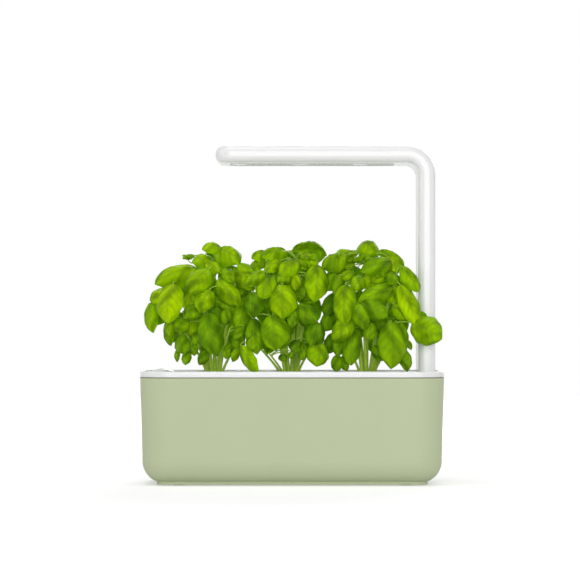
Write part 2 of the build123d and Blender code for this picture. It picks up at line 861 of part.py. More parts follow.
with BuildPart() as lamp_housing:
    add(lamp_band(0, lamp_seat))
    add(lamp_band(arm_wall, lamp_seat + web_thickness), mode=Mode.SUBTRACT)
    add_spigot(lamp_seat)
    with BuildSketch(Plane.XY.offset(lamp_seat)):
        arm_section(*spigot_bore)
    extrude(amount=web_thickness, mode=Mode.SUBTRACT)
    drill_webs(lamp_seat - spigot_length, lamp_seat)
    # the opening for the underside cover
    with BuildSketch(Plane.XY.offset(lamp_bottom)):
        with Locations((cover_x, 0)):
            RectangleRounded(
                cover_length + 2 * cover_gap, cover_depth + 2 * cover_gap, cover_corner + cover_gap
            )
    extrude(amount=arm_wall, mode=Mode.SUBTRACT)
    # posts for the heat sink
    with BuildSketch(Plane.XY.offset(sink_top)):
        with Locations(post_spots):
            Circle(post_radius)
    extrude(amount=lamp_top - arm_wall / 2 - sink_top)
    with BuildSketch(Plane.XY.offset(sink_top)):
        with Locations(post_spots):
            Circle(lamp_screw_radius + screw_slack)
    extrude(amount=board_screw_length, mode=Mode.SUBTRACT)
keep(lamp_housing.part, "lamp_housing")

with BuildPart() as lamp_cover:
    with BuildSketch(Plane.XY.offset(lamp_bottom)):
        with Locations((cover_x, 0)):
            RectangleRounded(cover_length, cover_depth, cover_corner)
    extrude(amount=arm_wall)
    # clips that hold the cover to the edges of the heat sink
    with BuildSketch(Plane.XY.offset(cover_top)):
        with Locations((cover_x, 0)):
            with GridLocations(cover_length - clip_inset, clip_pitch, 2, 2):
                Rectangle(clip_width, clip_thickness)
    extrude(amount=sink_top - cover_top)
    with BuildSketch(Plane.XY.offset(lamp_bottom)):
        with Locations([(x, 0) for x in lens_x.values()]):
            Circle(lens_radius + lens_gap)
        for x in vent_x:
            with Locations((x, 0)):
                with GridLocations(vent_pitch, vent_row_spacing, vent_columns, vent_rows):
                    Circle(vent_radius)
    extrude(amount=arm_wall, mode=Mode.SUBTRACT)
keep(lamp_cover.part, "lamp_cover")

for side, x in lens_x.items():
    with BuildPart() as lens:
        with BuildSketch(Plane.XY.offset(lamp_bottom)):
            with Locations((x, 0)):
                Circle(lens_radius)
        extrude(amount=arm_wall)
        with BuildSketch(Plane.XY.offset(cover_top)):
            with Locations((x, 0)):
                Circle(lens_radius + lens_flange)
        extrude(amount=lens_flange_thickness)
    keep(lens.part, f"lens_{side}")

with BuildPart() as led_chips:
    for x in lens_x.values():
        with BuildSketch(Plane.XY.offset(led_bottom)):
            with Locations((x, 0)):
                with GridLocations(led_spacing, led_spacing, 2, 2):
                    Rectangle(led_size, led_size)
        extrude(amount=led_height)
keep(led_chips.part, "led_chips")

with BuildPart() as led_board:
    with BuildSketch(Plane.XY.offset(led_board_bottom)):
        with Locations((lens_middle_x, 0)):
            Rectangle(board_length, board_depth)
        with Locations(post_spots):
            Circle(lamp_screw_radius + 2 * screw_slack, mode=Mode.SUBTRACT)
        for x in vent_x:
            with Locations((x, 0)):
                Rectangle(window_length, window_depth, mode=Mode.SUBTRACT)
    extrude(amount=led_board_thickness)
keep(led_board.part, "led_board")

with BuildPart() as heat_sink:
    with BuildSketch(Plane.XY.offset(sink_bottom)):
        with Locations((lens_middle_x, 0)):
            Rectangle(board_length, board_depth)
        with Locations(post_spots):
            Circle(lamp_screw_radius + 2 * screw_slack, mode=Mode.SUBTRACT)
        for x in vent_x:
            with Locations((x, 0)):
                Rectangle(window_length, window_depth, mode=Mode.SUBTRACT)
    extrude(amount=sink_thickness)
keep(heat_sink.part, "heat_sink")

with BuildPart() as sink_screws:
    with BuildSketch(Plane.XY.offset(led_board_bottom)):
        with Locations(post_spots):
            Circle(lamp_screw_radius)
    extrude(amount=sink_top - led_board_bottom + board_screw_length - screw_end_gap)
    with BuildSketch(Plane.XY.offset(led_board_bottom)):
        with Locations(post_spots):
            Circle(screw_head_ratio * lamp_screw_radius)
    extrude(amount=-lamp_screw_head)
keep(sink_screws.part, "sink_screws")

block_right = lens_middle_x + board_length / 2 - block_inset
cable_z = sink_top + block_height / 2

with BuildPart() as terminal_block:
    with BuildSketch(Plane.XY.offset(sink_top)):
        with Locations((block_right - block_length / 2, 0)):
            Rectangle(block_length, block_depth)
    extrude(amount=block_height)
keep(terminal_block.part, "terminal_block")

with BuildPart() as lamp_cable:
    with BuildLine():
        cable_path = FilletPolyline(
            (block_right, 0, cable_z),
            (arm_x, 0, cable_z),
            (arm_x, 0, lamp_seat + contact_plate_height),
            radius=cable_bend,
        )
    with BuildSketch(Plane(origin=cable_path @ 0, z_dir=cable_path % 0)):
        Circle(lamp_cable_radius)
    sweep(path=cable_path)
keep(lamp_cable.part, "lamp_cable")

with BuildPart() as lamp_contacts:
    add(contacts(lamp_seat, lamp_seat, False))
    with BuildSketch(Plane.XY.offset(lamp_seat)):
        with Locations((arm_x, 0)):
            Rectangle(
                spigot_thickness - 2 * spigot_wall - 2 * contact_plate_gap,
                2 * (contact_y + contact_radius + contact_plate_margin),
            )
    extrude(amount=contact_plate_height)
keep(lamp_contacts.part, "lamp_contacts")

# Plants -------------------------------------------------------------------------------------------

# Each leaf: the base of its blade, its tip, its width and how far it bows out. Each stem: its top. Places are
# X, Y and Z from the plant's crown, the middle of the soil's top, for plants that stand 76 mm apart.
LEAVES = {
    "left": [
        ((7, -5, 130), (-12, -12, 130), 16, 4),
        ((2, -5, 128), (26, -18, 116), 27, 6),
        ((-17, -12, 109), (-58, -30, 95), 26, 8),
        ((-40, -38, 94), (-45, -50, 56), 28, 5),
        ((-5, -35, 108), (-24, -48, 84), 24, 5),
        ((-4, -40, 88), (-13, -50, 66), 20, 4),
        ((4, -30, 98), (25, -40, 73), 20, 4),
        ((20, -17, 110), (40, -26, 88), 21, 5),
        ((2, -23, 86), (21, -30, 66), 17, 3),
        ((-6, -42, 65), (4, -52, 23), 25, 6),
        ((-33, -40, 44), (-29, -46, 25), 16, 3),
        ((-38, -28, 85), (-63, -34, 78), 22, 4),
        ((-62, -26, 76), (-61, -34, 46), 16, 3),
        ((35, -20, 85), (24, -29, 46), 22, 5),
        ((30, -33, 51), (20, -38, 39), 10, 2),
        ((-46, -30, 57), (-43, -36, 33), 12, 3),
        ((-44, -38, 56), (-42, -42, 42), 10, 2),
        ((-24, -32, 56), (-41, -38, 47), 16, 3),
        ((-25, -36, 28), (-28, -40, 14), 10, 1.5),
        ((-35, -34, 30), (-36, -38, 17), 6, 1.5),
        ((-20, -34, 35), (-19, -38, 23), 8, 1.5),
        ((-6, -31, 30), (-14, -36, 14), 11, 2),
        ((-20, 0, 123), (-32, -4, 120), 9, 1.5),
        ((0, -12, 116), (-22, -16, 117), 18, 5),
        ((-8, -20, 115), (8, -30, 106), 14, 3),
        ((8, -28, 109), (20, -34, 96), 14, 3),
        ((-14, -36, 72), (-29, -42, 59), 16, 3),
        ((-15, -34, 47), (-20, -38, 34), 12, 2),
        ((16, -30, 34), (12, -35, 20), 10, 1.5),
        ((26, -24, 48), (22, -31, 26), 14, 3),
        ((24, -31, 30), (19, -36, 17), 9, 1.5),
        ((14, -32, 70), (10, -38, 53), 12, 2),
        ((42, -17, 56), (24, -24, 43), 15, 3),
        ((24, -17, 114), (41, -24, 99), 16, 3),
        ((26, -14, 98), (32, -20, 78), 16, 3),
        ((-6, -14, 106), (-4, -22, 84), 16, 3),
        ((-21, -20, 90), (-26, -27, 66), 18, 3),
        ((8, -18, 80), (5, -26, 54), 17, 3),
        ((-18, -18, 66), (-23, -25, 42), 17, 3),
        ((-10, 25, 110), (-30, 46, 92), 28, 5),
        ((8, 22, 112), (24, 42, 95), 26, 5),
        ((-28, 20, 95), (-54, 32, 78), 26, 5),
        ((16, 26, 88), (27, 46, 62), 22, 4),
        ((-8, 38, 86), (-14, 54, 52), 28, 5),
        ((-34, 26, 66), (-46, 42, 38), 22, 4),
        ((8, 34, 60), (16, 52, 28), 24, 4),
        ((-20, 34, 52), (-26, 48, 24), 20, 4),
        ((24, 14, 70), (30, 26, 44), 14, 3),
        ((0, 4, 126), (-6, 26, 118), 22, 5),
        ((-30, 4, 108), (-54, 8, 94), 24, 5),
        ((-42, 6, 80), (-62, 10, 54), 22, 4),
        ((-36, 8, 56), (-47, 12, 34), 15, 3),
        ((24, 2, 106), (33, 14, 90), 14, 3),
    ],
    "middle": [
        ((2, 5, 127), (37, -4, 125), 28, 8),
        ((-4, -8, 127), (-29, -18, 122), 21, 6),
        ((-25, -2, 127), (-39, -6, 120), 17, 3),
        ((-25, 1, 119), (-41, -4, 108), 16, 4),
        ((9, -24, 116), (-11, -38, 104), 20, 5),
        ((4, -20, 117), (18, -26, 110), 12, 3),
        ((26, -30, 113), (24, -44, 77), 24, 5),
        ((5, -30, 104), (5, -36, 87), 12, 3),
        ((-8, -40, 93), (-9, -54, 60), 28, 5),
        ((-16, -34, 101), (-32, -44, 80), 20, 4),
        ((-37, -38, 86), (-36, -46, 60), 20, 4),
        ((-18, -44, 63), (-15, -55, 29), 30, 6),
        ((7, -36, 73), (25, -46, 56), 20, 4),
        ((3, -44, 68), (1, -50, 51), 12, 2),
        ((27, -40, 56), (22, -50, 31), 20, 4),
        ((27, -42, 38), (26, -50, 13), 23, 5),
        ((-49, -45, 33), (-33, -51, 6), 15, 4),
        ((-38, -44, 43), (-38, -51, 29), 12, 2),
        ((6, -36, 39), (5, -42, 26), 14, 2),
        ((-7, -36, 25), (-8, -40, 17), 9, 1.5),
        ((0, -40, 27), (1, -42, 20), 8, 1.5),
        ((14, -36, 36), (11, -42, 19), 10, 2),
        ((0, -38, 38), (-13, -44, 30), 8, 1.5),
        ((0, -32, 104), (-13, -38, 95), 14, 3),
        ((-10, -22, 117), (-25, -28, 106), 14, 3),
        ((11, -19, 124), (27, -26, 113), 16, 3),
        ((-2, -22, 106), (-3, -31, 84), 17, 3),
        ((9, -22, 102), (12, -30, 74), 18, 3),
        ((-19, -20, 94), (-23, -28, 70), 17, 3),
        ((-6, -24, 66), (-2, -31, 42), 18, 3),
        ((14, -24, 74), (17, -30, 50), 16, 3),
        ((9, -28, 78), (27, -32, 78), 10, 2),
        ((-37, -37, 60), (-34, -46, 25), 19, 4),
        ((-26, -36, 106), (-45, -42, 92), 15, 3),
        ((-8, 24, 112), (-24, 44, 96), 26, 5),
        ((10, 22, 112), (24, 44, 94), 26, 5),
        ((0, 6, 126), (2, 28, 118), 26, 6),
        ((-4, 38, 88), (-8, 55, 56), 28, 5),
        ((20, 26, 84), (25, 46, 56), 20, 4),
        ((-22, 26, 80), (-28, 46, 54), 20, 4),
        ((6, 36, 56), (10, 54, 24), 26, 5),
        ((-16, 32, 52), (-24, 46, 24), 20, 4),
        ((20, 24, 50), (26, 36, 24), 16, 3),
        ((-24, 6, 100), (-31, 14, 80), 14, 3),
        ((24, 6, 100), (32, 14, 82), 14, 3),
    ],
    "right": [
        ((3, 2, 138), (1, -14, 123), 25, 4),
        ((-9, 0, 127), (-25, -8, 119), 13, 3),
        ((25, -22, 114), (-6, -34, 108), 20, 7),
        ((13, -6, 128), (38, -12, 112), 17, 4),
        ((34, -35, 111), (50, -44, 86), 17, 3),
        ((32, -40, 93), (50, -48, 51), 20, 4),
        ((43, -46, 55), (72, -53, 40), 29, 5),
        ((51, -40, 66), (58, -43, 62), 4, 1),
        ((-22, -38, 93), (-24, -50, 54), 23, 6),
        ((25, -34, 91), (-10, -46, 74), 20, 5),
        ((-8, -44, 76), (19, -54, 62), 20, 4),
        ((-10, -46, 74), (-4, -54, 49), 18, 4),
        ((23, -44, 57), (23, -55, 11), 29, 6),
        ((-15, -42, 48), (-17, -50, 14), 19, 4),
        ((-16, -42, 61), (-34, -50, 38), 20, 4),
        ((2, -46, 56), (2, -50, 39), 14, 2),
        ((-30, -37, 24), (-31, -41, 7), 12, 2),
        ((-27, -37, 46), (-30, -44, 22), 13, 2),
        ((-25, -36, 23), (-21, -40, 8), 10, 2),
        ((34, -40, 30), (39, -46, 8), 13, 2),
        ((38, -36, 39), (43, -40, 29), 6, 1),
        ((26, -36, 73), (39, -42, 57), 16, 3),
        ((32, -38, 56), (36, -44, 27), 14, 3),
        ((5, -38, 33), (15, -42, 18), 12, 2),
        ((-6, -30, 101), (-14, -38, 87), 16, 3),
        ((-14, -22, 107), (-26, -30, 99), 12, 2),
        ((-13, -8, 125), (-31, -14, 125), 13, 3),
        ((-28, -30, 103), (-31, -37, 81), 11, 3),
        ((19, -28, 107), (29, -34, 93), 14, 3),
        ((22, -26, 101), (4, -34, 97), 10, 2),
        ((2, -16, 108), (5, -24, 86), 17, 3),
        ((20, -14, 122), (30, -23, 104), 16, 3),
        ((24, -18, 96), (28, -26, 72), 17, 3),
        ((8, -26, 70), (15, -34, 44), 19, 3),
        ((-12, -24, 60), (-10, -31, 38), 16, 3),
        ((-12, -20, 113), (-24, -22, 111), 9, 1.5),
        ((-20, -18, 123), (-45, -24, 110), 23, 5),
        ((-24, -18, 109), (-43, -24, 88), 22, 4),
        ((-30, -17, 85), (-42, -23, 62), 18, 3),
        ((-33, -17, 68), (-43, -23, 47), 17, 3),
        ((-30, -18, 46), (-40, -24, 25), 16, 3),
        ((-8, 24, 112), (-22, 44, 96), 26, 5),
        ((10, 22, 112), (26, 42, 94), 24, 5),
        ((0, 10, 128), (4, 30, 118), 24, 5),
        ((-4, 38, 88), (-8, 55, 56), 28, 5),
        ((20, 28, 84), (34, 46, 56), 22, 4),
        ((-20, 26, 80), (-26, 46, 54), 20, 4),
        ((8, 36, 56), (14, 54, 24), 26, 5),
        ((-16, 32, 52), (-22, 46, 24), 18, 4),
        ((22, 24, 50), (32, 38, 26), 18, 3),
        ((-24, 6, 98), (-31, 14, 78), 13, 3),
        ((26, 4, 104), (39, 12, 84), 18, 4),
        ((28, 2, 70), (41, 8, 48), 16, 3),
    ],
}
STEMS = {
    "left": [
        (0, -6, 116),
        (-34, -20, 90),
        (22, -22, 98),
        (-10, -34, 70),
        (16, -26, 50),
        (-26, -24, 42),
        (26, -26, 40),
        (-24, 18, 88),
        (12, 26, 92),
    ],
    "middle": [
        (6, -6, 118),
        (-24, -22, 96),
        (22, -24, 100),
        (-8, -36, 66),
        (20, -32, 48),
        (-34, -32, 34),
        (-22, -34, 26),
        (24, -30, 36),
        (-14, 24, 90),
        (14, 26, 90),
    ],
    "right": [
        (0, -4, 122),
        (-20, -24, 96),
        (26, -26, 92),
        (-4, -38, 62),
        (24, -34, 52),
        (-24, -30, 40),
        (24, -30, 36),
        (-12, 24, 90),
        (18, 24, 92),
    ],
}
# A blade's half outline, in shares of its length and of its width
BLADE_EDGE = [(0, 0), (0.12, 0.33), (0.46, 0.5), (0.8, 0.36), (0.94, 0.17), (1, 0)]


def leaf_blade(crown, base, tip, width, bow):
    """A leaf's blade: an oval plate with a pointed tip, bowed out from the plant's heart both ways."""
    start = crown + base
    run = tip - base
    middle = base + run / 2
    heart = Vector(0, copysign(heart_depth, -middle.Y), heart_height)
    outward = Vector(*[part * turn for part, turn in zip(middle - heart, LEAF_TURN)])
    face_up = outward - run * (outward.dot(run) / run.dot(run))
    lay = Plane(origin=start, x_dir=run, z_dir=face_up)
    length = run.length
    ball_radius = (length**2 / 4 + bow**2) / (2 * bow)
    ball_centre = lay.from_local_coords(Vector(length / 2, 0, bow - ball_radius))
    ball_place = Plane(origin=ball_centre, x_dir=lay.x_dir, z_dir=lay.y_dir)
    with BuildPart() as leaf:
        with BuildSketch(lay.offset(-ball_radius / 2)):
            with BuildLine():
                Spline(*[(share * length, half * width) for share, half in BLADE_EDGE])
                mirror(about=Plane.XZ)
            make_face()
        extrude(amount=ball_radius / 2 + bow + leaf_thickness)
        with Locations(ball_place):
            Sphere(ball_radius, mode=Mode.INTERSECT)
            Sphere(ball_radius - leaf_thickness, mode=Mode.SUBTRACT)
    return leaf.part


def stem_foot(top):
    """Where a stem leaves the soil: a little way out towards its top."""
    return Vector(top.X, top.Y, 0) * stem_spread


def stalk_start(top, base):
    """Where a leaf's stalk leaves a stem, below the leaf's own height."""
    foot = stem_foot(top)
    run = top - foot
    share = (base - foot).dot(run) / run.dot(run)
    return foot + run * min(max(share - stalk_drop, lowest_stalk), highest_stalk)


for side, x in plant_x.items():
    crown = Vector(x, 0, soil_top)
    tops = [Vector(*top) * plant_ratio for top in STEMS[side]]
    pieces = []
    for top in tops:
        foot = stem_foot(top)
        radius = stem_radius if top.Z > low_stem_height else thin_stem_radius
        with BuildPart() as stem:
            rod(crown + foot - (top - foot) * stem_sink, crown + top, radius)
            split(bisect_by=Plane.XY.offset(soil_top))
        pieces += stem.part.solids()
    for base_place, tip_place, width, bow in LEAVES[side]:
        base = Vector(*base_place) * plant_ratio
        tip = Vector(*tip_place) * plant_ratio
        starts = [stalk_start(top, base) for top in tops]
        start = min(starts, key=lambda place: (base - place).length)
        with BuildPart() as stalk:
            rod(crown + start, crown + base, petiole_radius)
        pieces += stalk.part.solids()
        pieces += leaf_blade(crown, base, tip, width * plant_ratio, bow * plant_ratio).solids()
    keep(Compound(pieces), f"basil_{side}")

for piece in all_parts:
    export_step(piece, f"parts/{piece.label}.step")
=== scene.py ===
import json
import math
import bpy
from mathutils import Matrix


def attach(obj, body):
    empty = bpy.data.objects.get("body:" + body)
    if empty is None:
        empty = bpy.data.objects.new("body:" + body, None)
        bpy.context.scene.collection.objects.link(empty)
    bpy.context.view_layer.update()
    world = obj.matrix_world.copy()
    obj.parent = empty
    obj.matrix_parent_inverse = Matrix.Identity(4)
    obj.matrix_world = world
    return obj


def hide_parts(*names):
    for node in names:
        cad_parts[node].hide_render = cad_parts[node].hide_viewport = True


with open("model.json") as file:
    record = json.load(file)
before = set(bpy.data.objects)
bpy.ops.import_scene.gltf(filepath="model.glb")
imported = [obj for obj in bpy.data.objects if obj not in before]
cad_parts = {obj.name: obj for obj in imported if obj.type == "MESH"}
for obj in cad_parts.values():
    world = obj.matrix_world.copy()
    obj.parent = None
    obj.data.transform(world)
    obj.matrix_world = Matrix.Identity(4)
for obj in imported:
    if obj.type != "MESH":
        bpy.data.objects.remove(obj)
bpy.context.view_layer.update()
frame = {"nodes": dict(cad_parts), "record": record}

from types import SimpleNamespace

import bmesh
import bpy
import numpy as np
from mathutils import Vector

# Leaves, stems and crumbs are made in millimetres. Materials, lights and the camera are in metres.
MM = 0.001


def node_box(name):
    """The lowest and the highest corner of a CAD node at rest, in millimetres, to a hundredth."""
    corners = np.array(frame["nodes"][name].bound_box) / MM
    return np.round(corners.min(axis=0), 2), np.round(corners.max(axis=0), 2)


def plant_crown(side):
    """The middle of the soil's top in a plant's cup."""
    low, high = node_box(f"soil_{side}")
    return np.round(np.array(((low[0] + high[0]) / 2, 0.0, high[2])), 2)


TUB_TOP = node_box("base_shell")[1][2] * MM
# How far below the tub's top the painted shade of the shadow gap starts and where it is fully dark, in metres
SEAM_SHADE_START, SEAM_SHADE_FULL = 0.0009, 0.0006

# The seeds of the first plant and of the first pod's crumbs. The others follow them.
PLANT_SEED = 11
CRUMB_SEED = 21

# Leaf blades: at the edge a blade has a share of its thickness, and it is full this far from the edge
LEAF_THICKNESS = 0.4
EDGE_THICKNESS_SHARE = 0.3
EDGE_TAPER = 2.5
# A blade's points lie in rows across it and columns along it. The column counts are for half of its width.
ROW_PITCH = 1.25
LEAST_ROWS, MOST_ROWS = 10, 36
COLUMN_PITCH = 2.4
LEAST_COLUMNS, MOST_COLUMNS = 4, 11
LEAST_HALF_WIDTH = 0.2
MIDRIB_GROOVE = 0.25
MIDRIB_SPREAD = 1.0
VEIN_PAIRS = 5.5
# The depth of a blade's waves, quilting, puckers, ripples and twist, as shares of its width, and its sway,
# as a share of its length
EDGE_WAVE = 0.04
CROSS_WAVE = 0.02
QUILTING = 0.055
PUCKER = 0.01
RIPPLE = 0.028
TWIST = 0.05
SWAY = 0.035
# A leaf's painted light and shade, and its tone: a middle tone in the table becomes LEAF_TONE, and the others
# spread about it
PAINTED_LEAF_LIGHT = 0.69
LEAF_TONE = 1.35
TONE_SPREAD = 0.75
MIDDLE_TONE = 1.2
# Leaves face away from the plant's heart. It lies this high over the crown, and this far behind it for the
# leaves in front and before it for the others. That direction is weighted sideways, forwards and upwards.
HEART_HEIGHT = 60
HEART_DEPTH = 30
FACING = np.array((0.4, 1.0, 0.5))
# Each leaf's own habit is drawn between these, in this order. Curl, droop and fold are shares of its size.
LEAF_HABIT = {
    "bluntness": (4.5, 9),
    "wave_a": (0, 1),
    "wave_b": (0, 1),
    "sway": (-1, 1),
    "twist": (-1, 1),
    "curl": (0.1, 0.3),
    "droop": (0.04, 0.14),
    "fold": (0.04, 0.1),
    "more_veins": (-1, 1),
    # slope and lean tilt a leaf's painted light along it and across it, and slope tilts its tone too
    "slope": (-0.8, 0.8),
    "lean": (-0.4, 0.4),
    "shade": (-0.2, 0.2),
}
LEAF_NUMBERS = ("leaf_tone", "leaf_light", "leaf_rib", "leaf_edge", "leaf_phase", "leaf_side")

# Stems and stalks. A stem's foot stands out from the crown by a share of its top's distance, and is sunk
# into the soil. Its radius grows with its height, by the gain and up to the height that are named here.
STEM_SPREAD = 0.17
STEM_SINK = 2.0
STEM_RADIUS = 0.9
TALL_STEM_GAIN = 1.4
TALL_STEM = 80
STEM_TAPER = 0.55
STEM_FOOT_TONES = (0.5, 1)
STEM_TOP_TONE = 0.3
PETIOLE_RADII = (0.8, 0.5)
PETIOLE_TONES = (0.35, 0.15)
SPRIG_STALK_RADII = (0.7, 0.6)
SPRIG_STALK_TONES = (0.35, 0.2)
ROUND_SIDES = 8
THIN_SIDES = 6
STEM_POINTS = 60
STALK_PITCH = 3
LEAST_RINGS, MOST_RINGS = 5, 28
# A direction that no stalk follows, which sets how its first ring is turned
STALK_SIDE = (0.31, 0.72, 0.17)
# The share of a stem below which no stalk grows, and how far a stalk runs under its leaf
LOWEST_STALK = 0.25
STALK_OVERLAP = 1.2
# How far a stalk rises over the distance it runs outwards, and how much that weighs against its length
STALK_RISE = 0.25
RISE_WEIGHT = 0.6

# Sprigs: their leaves, the turn from one leaf to the next, and the leaves' proportions and ranges
SPRIG_LEAVES = 6
SPRIG_TURN = 2.4
SPRIG_WIDTH = 0.62
SPRIG_BOW = 0.16
SPRIG_LEAN = 0.3
SPRIG_LIFT = (0.1, 0.9)
SPRIG_LENGTHS = (0.75, 1.15)
SPRIG_TONES = (-0.4, 0.4)

# Crumbs over each pod's soil: the ranges after the margin are shares of a crumb's size
CRUMBS = 520
CRUMB_SIZE = (0.5, 1.5)
CRUMB_MARGIN = 0.32
CRUMB_LIFT = (-0.2, 0.4)
CRUMB_LUMPS = (0.7, 1.15)
CRUMB_BREADTH = (0.6, 1)
CRUMB_FLATNESS = (0.5, 0.8)
